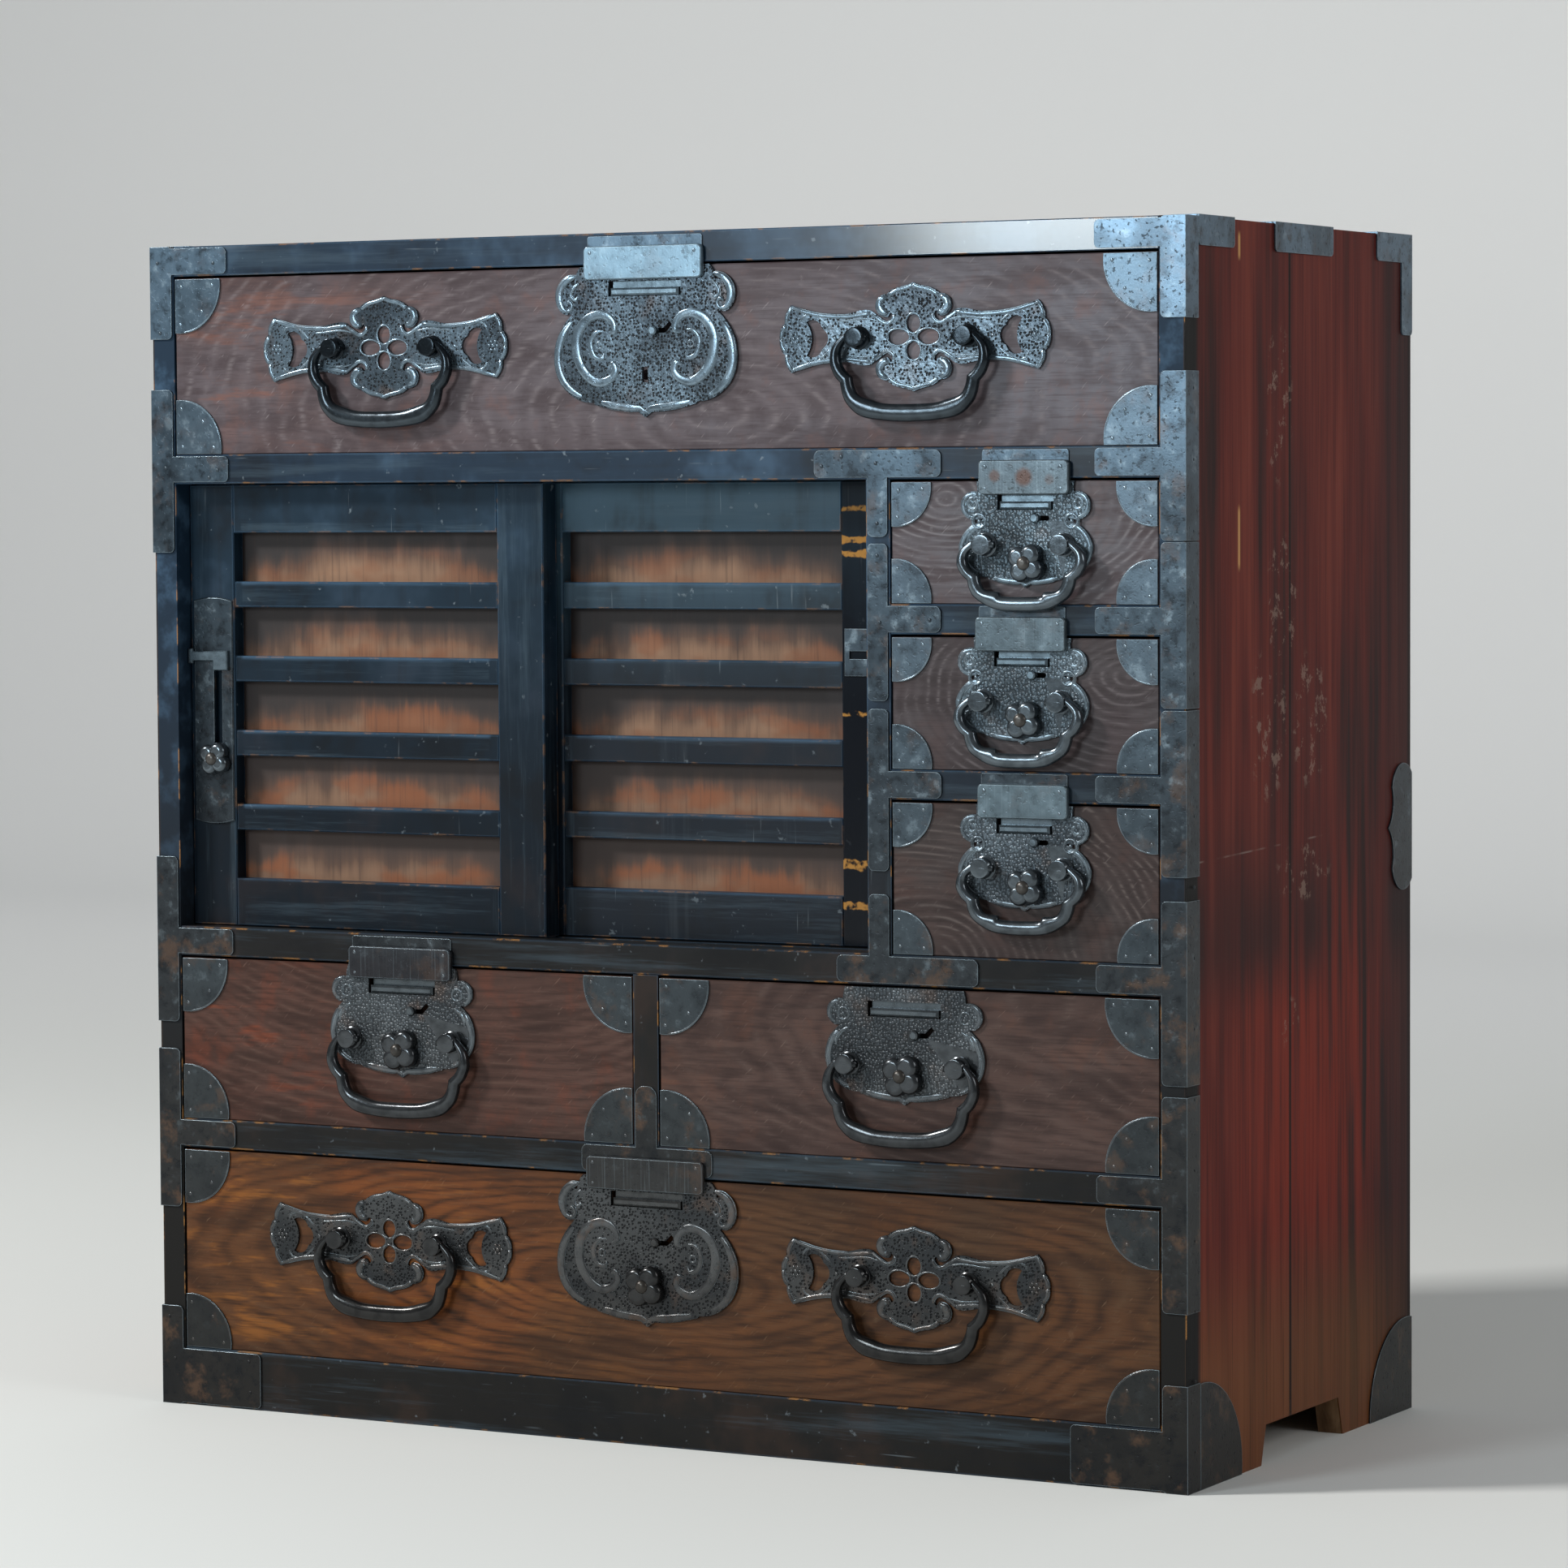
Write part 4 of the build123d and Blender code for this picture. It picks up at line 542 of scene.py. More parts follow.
# height and half height in mm of each worn band
stileBands = ((723, 2.2), (699.5, 3.4), (689, 3), (567, 2), (452, 4.2), (421, 3))
woods = {
    "rails": blackLacquer("railLacquer", "x", railDepth, gloss=0.15, rough=0.26, coat=0.9),
    "posts": blackLacquer("postLacquer", "z", railDepth, gloss=0.15, rough=0.3, coat=0.3),
    "top": blackLacquer("topLacquer", "x", noBare, wear=0.9, gloss=0.15, rough=0.24, coat=1),
    "doorLeft": blackLacquer("doorLacquer", "z", noBare, "182a38", "0a141d", 0.5,
                             gloss=0.12, rough=0.34, lit=(430, 770), crossed=True),
    "doorRight": blackLacquer("doorStileLacquer", "z", noBare, "38505f", "0d1620", 0.5, stileBands,
                              gloss=0.18, rough=0.34, lit=(560, 760), crossed=True),
    "field": doorField("doorField"),
    "side": sideWood("sideCedar"),
    "back": plainBoards("backCedar", "z", backPitch),
    "dust": plainBoards("dustCedar", "x"),
}
for drawer, look in looks.items():
    woods[drawer] = drawerWood(drawer, look)
print("wood finishes made:", len(woods))


# ---- places ----

chest = {
    # planes in the frame, how far each kind of plate stands out, and sizes on the drawers, mm
    "outer": 455, "front": frontPlane, "face": -207.5,
    "lockPlate": 2.2, "handlePlate": 2, "cornerPlate": 1.2, "cover": 6.2, "strap": 1.5,
    "post": 9.2, "postApart": 45.5, "boss": 5.2, "underCover": 10.4,
}
kindKeys = (
    # the lock plate's outline, its cover's width and its rim; the bail's posts, the knob and the corner plates
    "half", "high", "ear", "earDrop", "earEnd", "neckIn", "cover", "rim",
    "post", "postDrop", "knobDrop", "knobAside", "corner",
)
kindRows = {
    "large": (80.5, 115.5, 13, 24, 0.35, 1.5, 104, 6.5, 0, 0, 83, 0, 45),
    "middle": (67, 88, 10.5, 19.5, 0.35, 0.5, 95, 5, 46.5, 58, 65.5, 0, 45),
    "small": (54.5, 79, 10.5, 18, -0.1, 8.5, 74, 3.6, 32, 47, 60.5, 2.5, 35),
}
locks = {name: dict(zip(kindKeys, row)) for name, row in kindRows.items()}
places = {
    # opening left, right, floor, the drawer's top edge, its kind of lock, and the lock's middle
    "drawer_top": (-434.5, 434.5, 768.5, 909.2, "large", 3),
    "drawer_small_high": (213, 434.5, 652, 743.2, "small", 326.25),
    "drawer_small_middle": (213, 434.5, 528.25, 627.45, "small", 323.15),
    "drawer_small_low": (213, 434.5, 389, 503.7, "small", 324.55),
    "drawer_middle_left": (-434.5, -12, 233.5, 363.7, "middle", -223.05),
    "drawer_middle_right": (10, 434.5, 233.5, 363.7, "middle", 223.75),
    "drawer_bottom": (-434.5, 434.5, 47, 208.2, "large", -0.8),
}
handles = {
    # the two handles of a wide drawer: their middles and the height of their pivots
    "drawer_top": (-234, 234, 850.85), "drawer_bottom": (-237, 231, 144.6),
}


# ---- finishes on the CAD's own pieces ----

def dress(nodeName, finishes, choose=None):
    # one finish, or several chosen for each face by the place of its middle, in mm
    mesh = nodes[nodeName].data
    mesh.materials.clear()
    for material in finishes:
        mesh.materials.append(material)
    mesh.set_sharp_from_angle(angle=radians(28))
    turnTo = nodes[nodeName].matrix_world
    for polygon in mesh.polygons:
        polygon.use_smooth = True
        if choose:
            polygon.material_index = choose(*[c * 1000 for c in turnTo @ polygon.center])
    mesh.update()


finishNodes = {
    "side": ("side_panel_left", "side_panel_right"), "top": ("top_board",), "back": ("back_boards",),
    "rails": ("base_boards", "front_rails"), "dust": ("dust_boards",), "posts": ("partitions",),
    "doorLeft": ("door_left_frame",), "doorRight": ("door_right_frame",),
    "field": ("door_left_panel", "door_right_panel"), "works": ("door_latch",),
    "strap": ("frame_irons", "door_lock_plate", "door_strike_plate"),
}
dressing = {node: {**woods, **irons}[finish] for finish, names in finishNodes.items() for node in names}


def ironRegion(drawer):
    # plate, cover, corner plate or post, by the place on the drawer's front
    low, high, floor, top, kindName, centre = places[drawer]
    kind = locks[kindName]
    if kindName == "large":
        leftX, rightX, lift = handles[drawer]
        posts = [(x + side * chest["postApart"], lift) for x in (leftX, rightX) for side in (-1, 1)]
    else:
        posts = [(centre + side * kind["post"], top - kind["postDrop"]) for side in (-1, 1)]

    def choose(x, y, z):
        proud = chest["face"] - y
        if proud > 2.05 and any(hypot(x - px, z - pz) < chest["post"] for px, pz in posts):
            return 3
        underCover = abs(x - centre) < kind["cover"] / 2 + 0.4 and z > top - chest["underCover"]
        if proud > 2.3 and underCover:
            return 1
        atSide = min(x - low, high - x) < kind["corner"]
        atEnd = min(z - floor, top - z) < kind["corner"]
        return 2 if atSide and atEnd and proud < 1.3 else 0

    return choose


def knobRegion(x, z):
    return lambda fx, fy, fz: int(hypot(fx - x, fz - z) < chest["boss"])


knobPlaces = {"door_knob": (-408.4, 524)}
for drawer, (low, high, floor, top, kindName, centre) in places.items():
    kind = locks[kindName]
    knobPlaces[drawer + "_knob"] = (centre + kind["knobAside"], top - kind["knobDrop"])
for nodeName in nodes:
    if nodeName in looks:
        dressing[nodeName] = woods[nodeName]
    elif nodeName.startswith("drawer_"):
        dressing[nodeName] = irons["works" if nodeName.endswith(("_bolt", "_catch")) else "bail"]
for nodeName, material in dressing.items():
    dress(nodeName, [material])
for drawer in places:
    ground = irons["punched" if places[drawer][4] == "large" else "pebbled"]
    finishes = [ground, irons["cover"], irons["corner"], irons["post"]]
    dress(drawer + "_iron", finishes, ironRegion(drawer))
for nodeName, (x, z) in knobPlaces.items():
    if nodeName in nodes:
        dress(nodeName, [irons["knob"], irons["boss"]], knobRegion(x, z))
print("CAD pieces dressed:", len(dressing))


# ---- forms ----

def arc(start, via, end, count=10):
    # points after start on the circle through three points
    a, b, c = (complex(*point) for point in (start, via, end))
    share = (c - a) / (b - a)
    middle = a + (b - a) * (share - abs(share) ** 2) / (2j * share.imag)
    turn, half = (phase((point - middle) / (a - middle)) % (2 * pi) for point in (c, b))
    if half > turn:
        turn -= 2 * pi
    points = [middle + (a - middle) * rect(1, turn * n / count) for n in range(1, count + 1)]
    return [(point.real, point.imag) for point in points]


def trace(start, *steps):
    # a step is a point, or a pair of points: an arc through the first to the second
    points = [start]
    for step in steps:
        if isinstance(step[0], tuple):
            points += arc(points[-1], *step)
        else:
            points.append(step)
    return points


def smooth(points, count=6):
    # a curve through the points
    last, made = len(points) - 1, []
    for n in range(last):
        a, b, c, d = (points[min(max(k, 0), last)] for k in range(n - 1, n + 3))
        for t in (step / count for step in range(count)):
            made.append(tuple(
                0.5 * (2 * q + (r - p) * t + (2 * p - 5 * q + 4 * r - s) * t * t
                       + (3 * q - p - 3 * r + s) * t ** 3)
                for p, q, r, s in zip(a, b, c, d)
            ))
    return made + [tuple(points[-1])]


def normals(points, closed=False):
    total, made = len(points), []
    for n in range(total):
        near = [k % total if closed else min(max(k, 0), total - 1) for k in (n - 1, n + 1)]
        before, after = points[near[0]], points[near[1]]
        dx, dy = after[0] - before[0], after[1] - before[1]
        length = hypot(dx, dy) or 1
        made.append((-dy / length, dx / length))
    return made


def inset(points, distance):
    return [(x + nx * distance, z + nz * distance) for (x, z), (nx, nz) in zip(points, normals(points))]


def oval(x, z, wide, high, count):
    angles = [2 * pi * n / count for n in range(count)]
    return [(x + wide * cos(a), z + high * sin(a)) for a in angles]


def skin(rows, columns, around=False, along=False):
    # faces between rows of points; around joins each row's ends, and along joins the last row to the first
    faces = []
    for n in range(rows if along else rows - 1):
        a, b = n * columns, (n + 1) % rows * columns
        for k in range(columns if around else columns - 1):
            m = (k + 1) % columns
            faces.append((a + k, a + m, b + m, b + k))
    return faces


def ribbon(points, wide, rise, closed=False, pinch=0, sunk=0.25, flat=1):
    # a raised band, round backed or flatter; wide is one number or one for each point; pinch draws the ends in
    total, sections, verts = len(points), 7 if flat > 0.8 else 9, []
    for n, ((x, z), (nx, nz)) in enumerate(zip(points, normals(points, closed))):
        half = (wide[n] if isinstance(wide, list) else wide) / 2
        end = min(n, total - 1 - n)
        share = 1 if closed or not pinch else min(1, 0.12 + end / pinch)
        for k in range(sections):
            a = pi * k / (sections - 1)
            off = cos(a) * half * sqrt(share)
            verts.append((x + nx * off, z + nz * off, abs(sin(a)) ** flat * rise * share - sunk))
    return verts, skin(total, sections, along=closed)


def nailHead(x, z, radius=1.5, rise=0.7, out=0, around=10):
    # a low dome that stands out of the plate
    rings = [(radius * cos(a), out + rise * sin(a) - 0.2) for a in (0, 0.35, 0.7, 1.1)]
    verts = [(a, b, height) for wide, height in rings for a, b in oval(x, z, wide, wide, around)]
    top = len(verts)
    cap = [(top - around + n, top - around + (n + 1) % around, top) for n in range(around)]
    return verts + [(x, z, out + rise - 0.2)], skin(len(rings), around, around=True) + cap


def lifted(part, out):
    return ([(x, z, h + out) for x, z, h in part[0]],) + tuple(part[1:])


def placed(part, origin, side="front"):
    # from a plate's own x, z and height to the row frame, on the front or on a side
    ox, oy, oz = origin
    turn = {
        "front": lambda a, b, h: (ox + a, oy - h, oz + b),
        "right": lambda a, b, h: (ox + h, oy + a, oz + b),
        "left": lambda a, b, h: (ox - h, oy - a, oz + b),
    }[side]
    return ([turn(*v) for v in part[0]],) + tuple(part[1:])


def put(name, data):
    made = bpy.data.objects.new(name, data)
    scene.collection.objects.link(made)
    return made


def piece(name, parts, finishes, body, replaced=()):
    # each part is its points and faces, and the number of its finish where there is more than one
    verts, faces, numbers = [], [], []
    for part in parts:
        base = len(verts)
        verts += [tuple(c / 1000 for c in v) for v in part[0]]
        faces += [tuple(i + base for i in f) for f in part[1]]
        numbers += [part[2] if len(part) > 2 else 0] * len(part[1])
    mesh = bpy.data.meshes.new(name)
    mesh.from_pydata(verts, [], faces)
    for material in finishes:
        mesh.materials.append(material)
    mesh.polygons.foreach_set("material_index", numbers)
    mesh.shade_smooth()
    made = put(name, mesh)
    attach(made, body)
    if replaced:
        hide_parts(*replaced)


# ---- ironwork on the drawers ----

def lockHalf(kind):
    # the right half of a lock plate's edge: its ear, its belly and its foot, and the ear's middle
    half, high, r = kind["half"], kind["high"], kind["ear"]
    earX, earZ = half - r - 1.5, -kind["earDrop"]
    shoulder = (earX - 0.3 * r, earZ + 0.95 * r)
    earEnd = (earX + kind["earEnd"] * r, earZ - sqrt(1 - kind["earEnd"] ** 2) * r)
    bellyTop = (earX - kind["neckIn"] + 3, earZ - 1.15 * r)
    belly = (half, -0.6 * high)
    bellySide = (0.35 * bellyTop[0] + 0.65 * half, 0.62 * bellyTop[1] + 0.38 * belly[1])
    cusp, foot = (0.57 * half, -0.9 * high), (0.55 * half, -0.915 * high)
    ear = trace(shoulder, ((earX + 0.95 * r, earZ + 0.31 * r), earEnd))
    side = trace(bellyTop, (bellySide, belly), ((0.885 * half, -0.81 * high), cusp))
    bottom = trace(foot, ((0.3 * half, -0.952 * high), (0.075 * half, -0.965 * high)), (0, -high))
    return ear, side, bottom, earX, earZ


def spiral(x, z, start, turns, outer, inner, count=26):
    made = []
    for n in range(count + 1):
        t = n / count
        a, radius = start + turns * 2 * pi * t, outer + (inner - outer) * t
        made.append((x + radius * cos(a), z + radius * sin(a)))
    return made


def banded(points, wide, rise, pinch=3, dark=1.3):
    # a smooth band with a dark strip along both of its edges, the painted shade of a groove
    widths = wide if isinstance(wide, list) else [wide] * len(points)
    groove = ribbon(points, [w + dark for w in widths], 0.3, pinch=pinch, flat=0.5)
    return [groove + (1,), ribbon(points, wide, rise, pinch=pinch, flat=0.45)]


def ringed(x, z, radius, wide, rise, eye=0):
    ring = oval(x, z, radius, radius, 24)
    # the first, wider ring is the painted shade of a groove
    made = [ribbon(ring, wide + 1, 0.3, closed=True) + (1,), ribbon(ring, wide, rise, closed=True, flat=0.6)]
    if eye:
        made.append(nailHead(x, z, eye, 0.9))
    return made


def mirrored(part, across=-1, up=1):
    # the other hand of a form, or its lower half: the winding of its faces is turned about too
    verts, faces = part[:2]
    turnedFaces = [tuple(reversed(face)) for face in faces]
    return ([(x * across, z * up, h) for x, z, h in verts], turnedFaces) + tuple(part[2:])


def lockRelief(kindName):
    kind = locks[kindName]
    ear, side, bottom, earX, earZ = lockHalf(kind)
    rim, large = kind["rim"], kindName == "large"
    rims = {"large": (1.5, 4, 0.92, 1.4, 3), "middle": (1.1, 3, 0.95, 1.1, 2), "small": (1, 3, 0.95, 1, 2)}
    sideRise, sidePinch, footWide, footRise, footPinch = rims[kindName]
    wide = [rim * (0.7 + 0.3 * min(1, n / 6)) for n in range(len(side) - 2)] if large else rim
    half = banded(inset(side[:-2], -0.52 * rim), wide, sideRise, sidePinch)
    half += banded(inset(bottom[1:], -0.5 * rim), rim * footWide, footRise, footPinch)
    if large:
        # the ear hooks in at the neck, and a flat scroll stands each side of the keyhole
        hook = smooth([(60, -6.5), (68.5, -9.5), (74.5, -16.5), (75.6, -24.5), (72.5, -31.8), (67, -33.4),
                       (64, -29.4), (66.6, -26), (69.2, -28)], 5)
        swell = [2.6 + 4 * sin(pi * min(1, n / 24)) for n in range(len(hook))]
        half += banded(hook, swell, 1.6, 4)
        inner = [(58.5, -12), (63.5, -16.5), (65.5, -21.5), (62, -25), (58.5, -22)]
        half += banded(smooth(inner, 5), 2.2, 1, 4)
        scroll = smooth([(31.5, -51), (27, -49.5), (27.5, -43.5), (33, -38), (42, -36.5), (52.5, -41),
                         (59.5, -50.5), (61, -61.5), (58, -73.5), (50.5, -83.5), (41, -88.5),
                         (31.5, -86.5), (26, -80.5), (28, -74.5), (32.5, -76)], 5)
        middle = len(scroll) / 2
        widths = [8.6 - 5 * (abs(n - middle) / middle) ** 1.6 for n in range(len(scroll))]
        half += banded(scroll, widths, 1.4, 5)
        leaf = smooth([(36, -49), (43.5, -50.5), (48, -58), (45, -68), (38, -70.5), (36, -66)], 5)
        swell = [1.6 + 2.6 * sin(pi * n / (len(leaf) - 1)) for n in range(len(leaf))]
        half += banded(leaf, swell, 1, 4)
        half += ringed(40.5, -60, 2.6, 1.3, 0.7)
    elif kindName == "middle":
        ridge = inset(side[2:-2], -0.35 * rim)
        half.append(lifted(ribbon(ridge, 1.1, 0.5, pinch=3), 0.9))
        half += banded(inset(ear[1:], -2), 3.6, 1.1, 3)
        half += ringed(earX - 3.5, earZ - 1, 4.6, 1.7, 0.9, 1.3)
        fold = ((-8, 11), (-2, 14.5), (2.5, 20), (3, 26))
        half += banded(smooth([(earX + a, earZ - b) for a, b in fold], 5), 1.8, 0.7, 4)
    else:
        half += ringed(38, -29.5, 5.2, 2, 1.1, 1.6)
        half += banded(inset(ear, -1.8), 3, 1, 3)
        half += banded(spiral(earX, earZ + 1, 0.7 * pi, -1.15, 5.6, 1.8), 1.7, 0.8, 4)
        fold = ((-10, 14), (-2, 17), (4, 23), (6, 31))
        half += banded(smooth([(earX + a, earZ - b) for a, b in fold], 5), 1.5, 0.6, 4)
    return half + [mirrored(part) for part in half]


handleRuns = {
    # the edge of a quarter of a handle plate, from the crown's tip round to the end of the arm
    "crown": ((0, 40.5), (6.3, 38.3), (15.1, 36.3), (22.05, 32)),
    "curl": ((22.05, 32), (29.3, 29.2), (31.5, 22.7), (28.35, 17.1), (23.6, 15.5), (19.6, 18.2)),
    "slit": ((17.7, 17.3), (18.6, 13.8), (23.6, 12.2), (35.5, 20)),
    "arm": ((35.5, 20), (45, 18.8), (56.75, 17.8), (80, 19.4), (103.5, 25.5)),
    "end": ((103.5, 25.5), (108.1, 18.4), (109, 11.5)),
    "lobe": ((109, 11.5), (112.6, 6.1), (113.5, 0)),
    "petals": (((12.6, 0), (9.6, 6.4)), ((0, 10.2), (6.4, 7.6))),
    "spray": ((70, 7.6), (76.5, 13.6), (84, 18.2), (92, 17.2), (95.5, 12)),
    "stem": ((27, 11.5), (40, 14.2), (56, 13), (66, 12.4)),
    "flower": 101,
}


def handleRelief():
    q = handleRuns
    quarter = banded(inset(smooth(q["crown"], 5), -1.9), 2.6, 1, 1)
    curl = smooth(q["curl"], 6)
    swell = [3.2 + 3.2 * sin(pi * min(1, n / (len(curl) - 1))) for n in range(len(curl))]
    offsets = [(x - nx * wide * 0.52, z - nz * wide * 0.52)
               for (x, z), (nx, nz), wide in zip(curl, normals(curl), swell)]
    quarter += banded(offsets, swell, 1.9, 3)
    for run, count, inward, wide, rise, pinch in (("slit", 5, 1.7, 2.4, 0.9, 3), ("arm", 6, 1.9, 3, 1.2, 3),
                                                  ("end", 6, 1.7, 2.8, 1.1, 3), ("lobe", 6, 1.7, 2.8, 1.1, 2)):
        quarter += banded(inset(smooth(q[run], count), -inward), wide, rise, pinch)
    quarter += banded(smooth(q["spray"], 6), 1.1, 0.5, 3, dark=0.9)
    quarter += banded(smooth(q["stem"], 6), 1, 0.45, 4, dark=0.9)
    made = quarter + [mirrored(part) for part in quarter]
    made += [mirrored(part, 1, -1) for part in made]
    for (x, z), (wide, high) in q["petals"]:
        made += [ribbon(oval(sign * x, sign * z, wide, high, 28), 1.5, 0.6, closed=True) for sign in (1, -1)]
    for hand in (-1, 1):
        middle = hand * q["flower"]
        made += [nailHead(x, z, 1.3, 0.9) for x, z in oval(middle, 0, hand * 3.6, 3.6, 6)]
        made += [nailHead(middle, 0, 1.8, 1.3), nailHead(hand * 66, 0, 1.6, 0.8)]
    return made


bailSteps = (
    # at each step: how far in from the widest place and what share of the drop, for both edges
    (2.6, 0.09, 8.6, 0.15), (0.05, 0.28, 8.6, 0.27), (3.6, 0.44, 12, 0.375), (8.6, 0.53, 18, 0.46),
    (10.4, 0.66, 19.6, 0.58), (14.6, 0.79, 24, 0.68),
)


def bailForm(half, drop, foot, start, pinOut, deep=4.45, end=3.35):
    # a forged bar between an outer and an inner edge: it steps in at a cusped shoulder, thickest at the foot
    inner = drop - foot
    steps = [((half - a, -b * drop), (half - c, -d * drop)) for a, b, c, d in bailSteps]
    above = [((start - 1.5, end), (start - 1.5, -end)), ((start, end), (start, -end))] + steps[:4]
    below = steps[3:] + [((half - 26, -0.93 * drop), (half - 34, -inner + 3.6)),
                         ((0.3 * half, -0.985 * drop), (0.3 * half, -inner + 0.6)), ((0, -drop), (0, -inner))]
    depths = [2.9, 3.3, 4, deep, deep, deep]
    run = smooth([a + b + (d,) for (a, b), d in zip(above, depths)], 6)[:-1]
    run += smooth([a + b + (deep,) for a, b in below], 6)
    run = [(pinOut, 2.8, pinOut, -2.8, 2.8), (start - 2.2, 2.8, start - 2.2, -2.8, 2.8)] + run
    line = run[:-1] + [(-ax, az, -bx, bz, d) for ax, az, bx, bz, d in reversed(run)]
    around, verts = 18, []
    for ax, az, bx, bz, d in line:
        for k in range(around):
            a = 2 * pi * k / around
            c, s = cos(a), sin(a)
            across = copysign(abs(c) ** 0.85, c) * 0.5
            verts.append(((ax + bx) / 2 + (ax - bx) * across, (az + bz) / 2 + (az - bz) * across,
                          copysign(abs(s) ** 0.85, s) * d))
    ends = [tuple(reversed(range(around))), tuple(range(len(verts) - around, len(verts)))]
    return verts, skin(len(line), around, around=True) + ends


bails = {
    # half width, drop, thickness at the foot, start of the bar, the pin's inner end, and the pivot's depth
    "large": (66.5, 63.4, 13.5, 54.1, 36.1, -216.1),
    "middle": (66, 61.9, 12.8, 55.1, 37.1, -216.3),
    "small": (53, 49.4, 11, 40.6, 22.6, -216.3),
}

for drawer, (low, high, floor, top, kindName, centre) in places.items():
    kind = locks[kindName]
    lock = [lifted(part, chest["lockPlate"]) for part in lockRelief(kindName)]
    if drawer != "drawer_middle_right":     # its cover plate is lost
        for hand in (-1, 1):
            x = hand * (kind["cover"] / 2 - 6)
            lock += [nailHead(x, 10.5, 1.6, 0.6, chest["cover"]), nailHead(x, -5.5, 1.4, 0.4, chest["cover"])]
    parts = [placed(part, (centre, chest["face"], top)) for part in lock]
    size = kind["corner"] - 2
    for sx, edgeX in ((1, low + 1.5), (-1, high - 1.5)):
        for sz, edgeZ in ((1, floor + 0.5), (-1, top - 0.5)):
            spots = [(6, 6), (size - 7, 5), (5, size - 7), (size * 0.6, size * 0.6)]
            if kindName == "small":
                spots.pop()
            plate = [nailHead(sx * a, sz * b, 1.5, 0.6, chest["cornerPlate"]) for a, b in spots]
            bow = trace((size - 0.7, 0.6), ((0.715 * size, 0.745 * size), (0.6, size - 0.7)))
            edge = ribbon([(sx * a, sz * b) for a, b in bow], 1.3, 0.4, pinch=2)
            plate.append(lifted(edge, chest["cornerPlate"]))
            parts += [placed(part, (edgeX, chest["face"], edgeZ)) for part in plate]
    if kindName == "large":
        leftX, rightX, lift = handles[drawer]
        pairs = [("_handle_left", leftX, lift), ("_handle_right", rightX, lift)]
        relief = [lifted(part, chest["handlePlate"]) for part in handleRelief()]
        for ending, x, z in pairs:
            parts += [placed(part, (x, chest["face"], z)) for part in relief]
    else:
        pairs = [("_handle", centre, top - kind["postDrop"])]
    piece(drawer + "_relief", parts, [irons["relief"], irons["groove"]], drawer)
    *sizes, depth = bails[kindName]
    for ending, x, z in pairs:
        name = drawer + ending
        bar = placed(bailForm(*sizes), (x, depth, z))
        piece(name + "_bar", [bar], [irons["bail"]], name, (name,))
print("drawer ironwork made")


# ---- nails and screws on the frame's irons ----

frameNails = {
    # distance from the chest's left edge and height, mm; then a row of nails along each side's wrapped irons
    "front": ((6, 922), (60, 921), (8, 866), (12, 758), (54, 750), (62, 756), (611, 755), (628, 762),
              (657, 757), (703, 756), (658, 712), (658, 688), (660, 638), (702, 640), (6, 71), (11, 37),
              (83, 39), (84, 14), (823, 34), (823, 12), (897, 40), (897, 12), (898, 71)),
    "row": [30 + n * 52 for n in range(17)],
    "inset": 12,
}

heads = []
for u, z in frameNails["front"]:
    heads.append(placed(nailHead(u - chest["outer"], z, 1.6, 0.8, chest["strap"]), (0, chest["front"], 0)))
for z in frameNails["row"]:
    for side, x in (("left", -chest["outer"]), ("right", chest["outer"])):
        head = nailHead(0, z, 1.5, 0.7, chest["strap"] - 0.1)
        heads.append(placed(head, (x, chest["front"] + frameNails["inset"], 0), side))
piece("frame_nails", heads, [irons["nail"]], "carcass")
print("nails made:", len(heads))


# ---- stage ----

stageLook = {
    # tones, and sizes in metres
    "floor": "e4e6e4", "wall": "fafbfb", "wide": 12, "front": -12, "bend": 4.4, "radius": 1.4, "tall": 6,
}


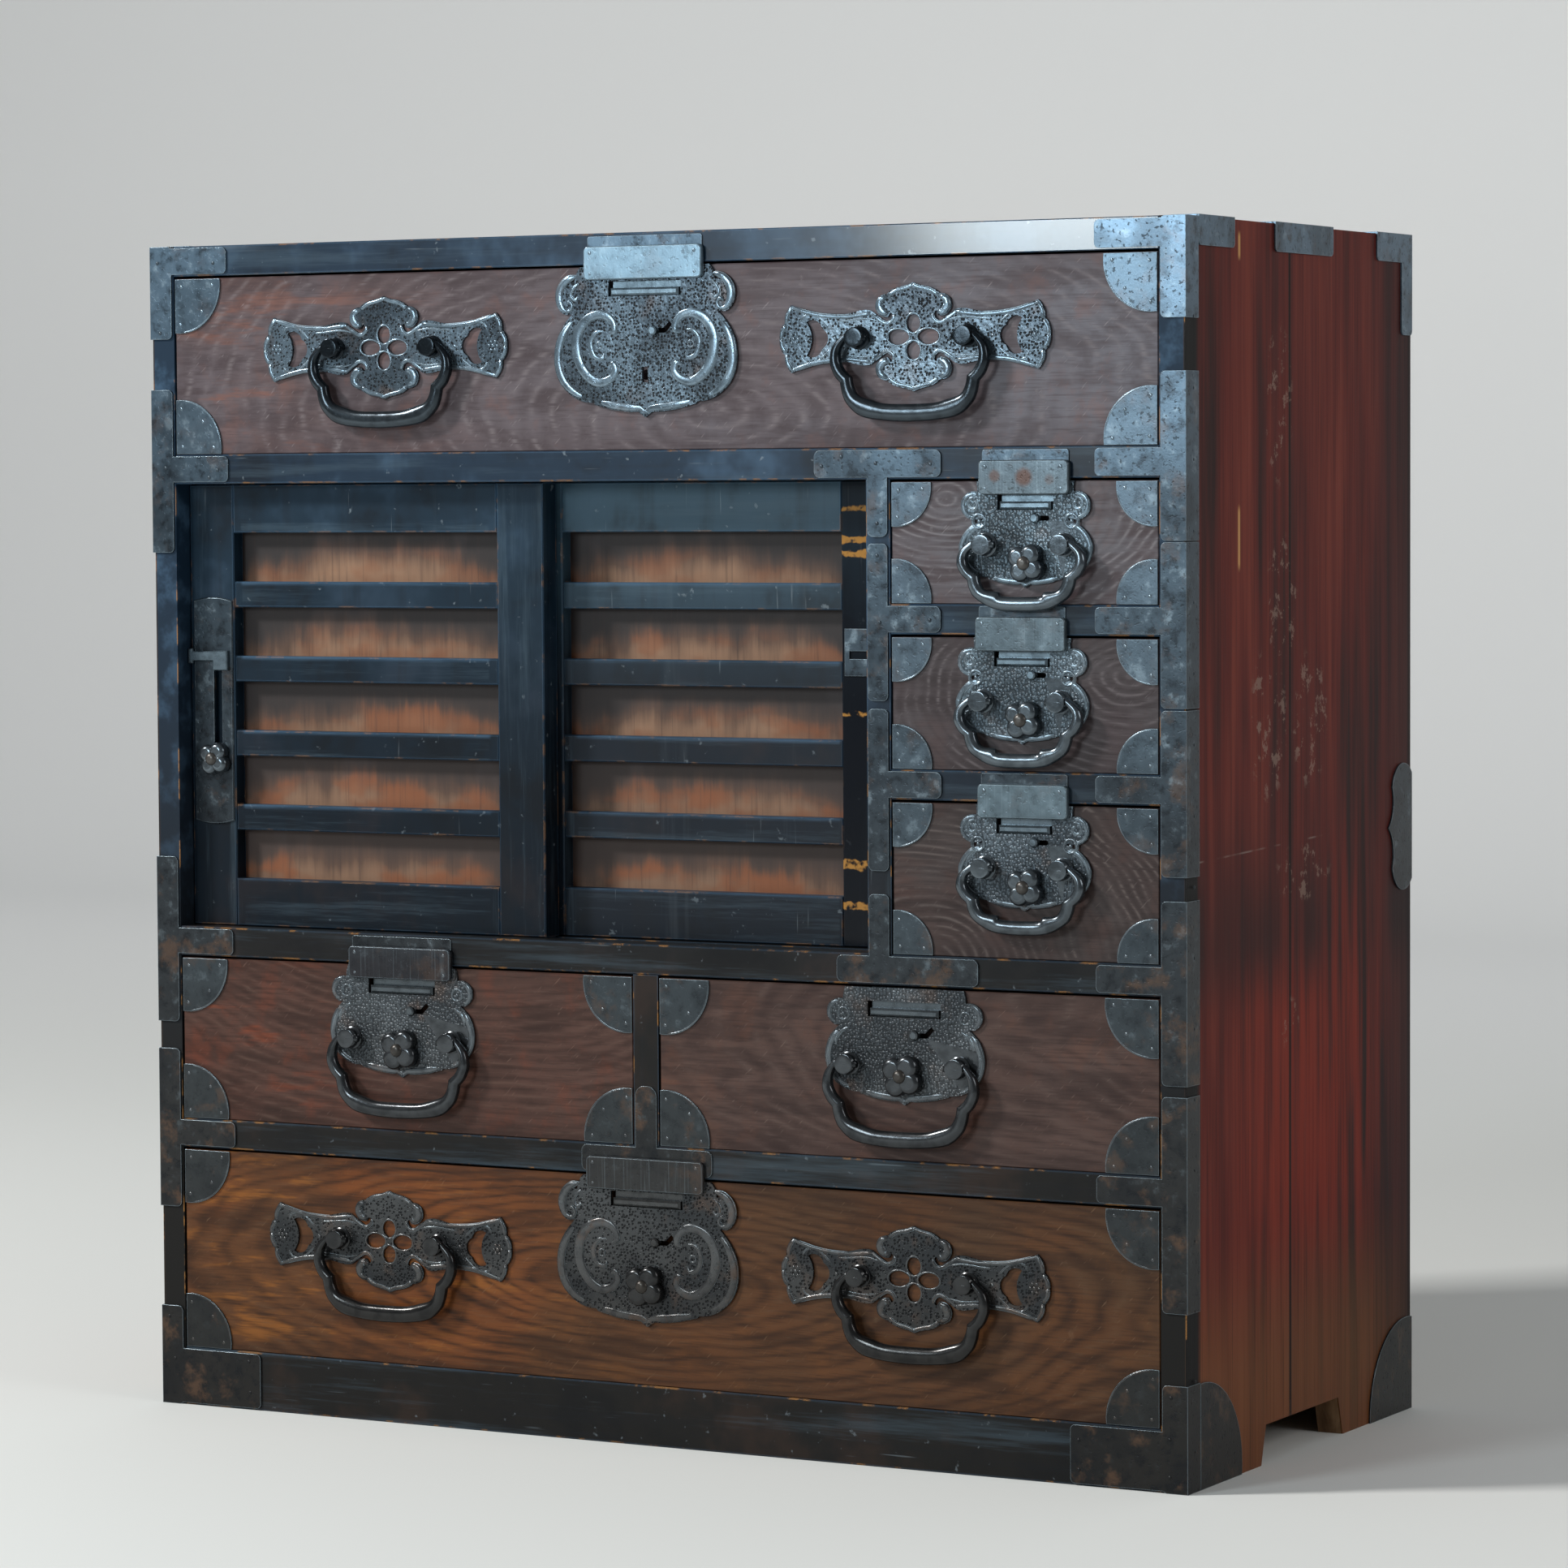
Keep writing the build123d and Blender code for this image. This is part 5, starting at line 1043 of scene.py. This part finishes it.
def backdrop():
    # a floor that turns up into a wall
    s = stageLook
    line = [(s["front"], 0), (0, 0), (s["bend"], 0)]
    line += [(s["bend"] + s["radius"] * sin(a), s["radius"] * (1 - cos(a)))
             for a in (pi / 2 * n / 12 for n in range(1, 13))]
    line.append((s["bend"] + s["radius"], s["tall"]))
    verts = [(x, y, z) for y, z in line for x in (-s["wide"], s["wide"])]
    faces = [(2 * n, 2 * n + 1, 2 * n + 3, 2 * n + 2) for n in range(len(line) - 1)]
    mesh = bpy.data.meshes.new("floor")
    mesh.from_pydata(verts, [], faces)
    mesh.shade_smooth()
    made = put("floor", mesh)
    r = Recipe("floorPaper")
    r.colour = r.mix(r.y.rise(1500, 4000), tone(s["floor"]), tone(s["wall"]))
    mesh.materials.append(r.finish(0.75, level=0.2))


backdrop()

world = bpy.data.worlds.new("studio")
world.use_nodes = True
sky = world.node_tree.nodes["Background"].inputs
sky["Color"].default_value, sky["Strength"].default_value = tone("eef2f5"), 0.24
scene.world = world

lamps = {
    # where each stands and points, in metres, its watts, its size and its tint
    "key": ((-4, -3.2, 3.8), (0, -0.2, 0.5), 330, 0.8, (1, 0.98, 0.95)),
    "window": ((-1.05, -3.5, 1.4), (0.2, -0.2, 0.8), 42, 0.75, (0.84, 0.95, 1)),
    "fill": ((3.6, -0.6, 2), (0, 0, 0.5), 30, 1.6, (1, 0.98, 0.96)),
}
for name, (place, target, watts, size, tint) in lamps.items():
    data = bpy.data.lights.new(name, "AREA")
    data.energy, data.size, data.color = watts, size, tint
    light = put(name, data)
    light.location = place
    light.rotation_euler = (Vector(target) - Vector(place)).to_track_quat("-Z", "Y").to_euler()

view = {"at": (2.1078, -3.8295, 0.7376), "turn": 28.746, "tilt": 3.083, "roll": -0.329, "lens": 125.39}
turn, tilt, roll = (radians(view[key]) for key in ("turn", "tilt", "roll"))
backward = Vector((sin(turn) * cos(tilt), -cos(turn) * cos(tilt), sin(tilt)))
level = Vector((cos(turn), sin(turn), 0))
upward = backward.cross(level)
across = level * cos(roll) + upward * sin(roll)
upright = upward * cos(roll) - level * sin(roll)
cameraData = bpy.data.cameras.new("camera")
cameraData.sensor_width, cameraData.lens = 36, view["lens"]
camera = put("camera", cameraData)
facing = Matrix((across, upright, backward)).transposed().to_4x4()
camera.matrix_world = Matrix.Translation(view["at"]) @ facing
scene.camera = camera
scene.view_settings.view_transform = "Standard"
print("stage, lamps and camera set")
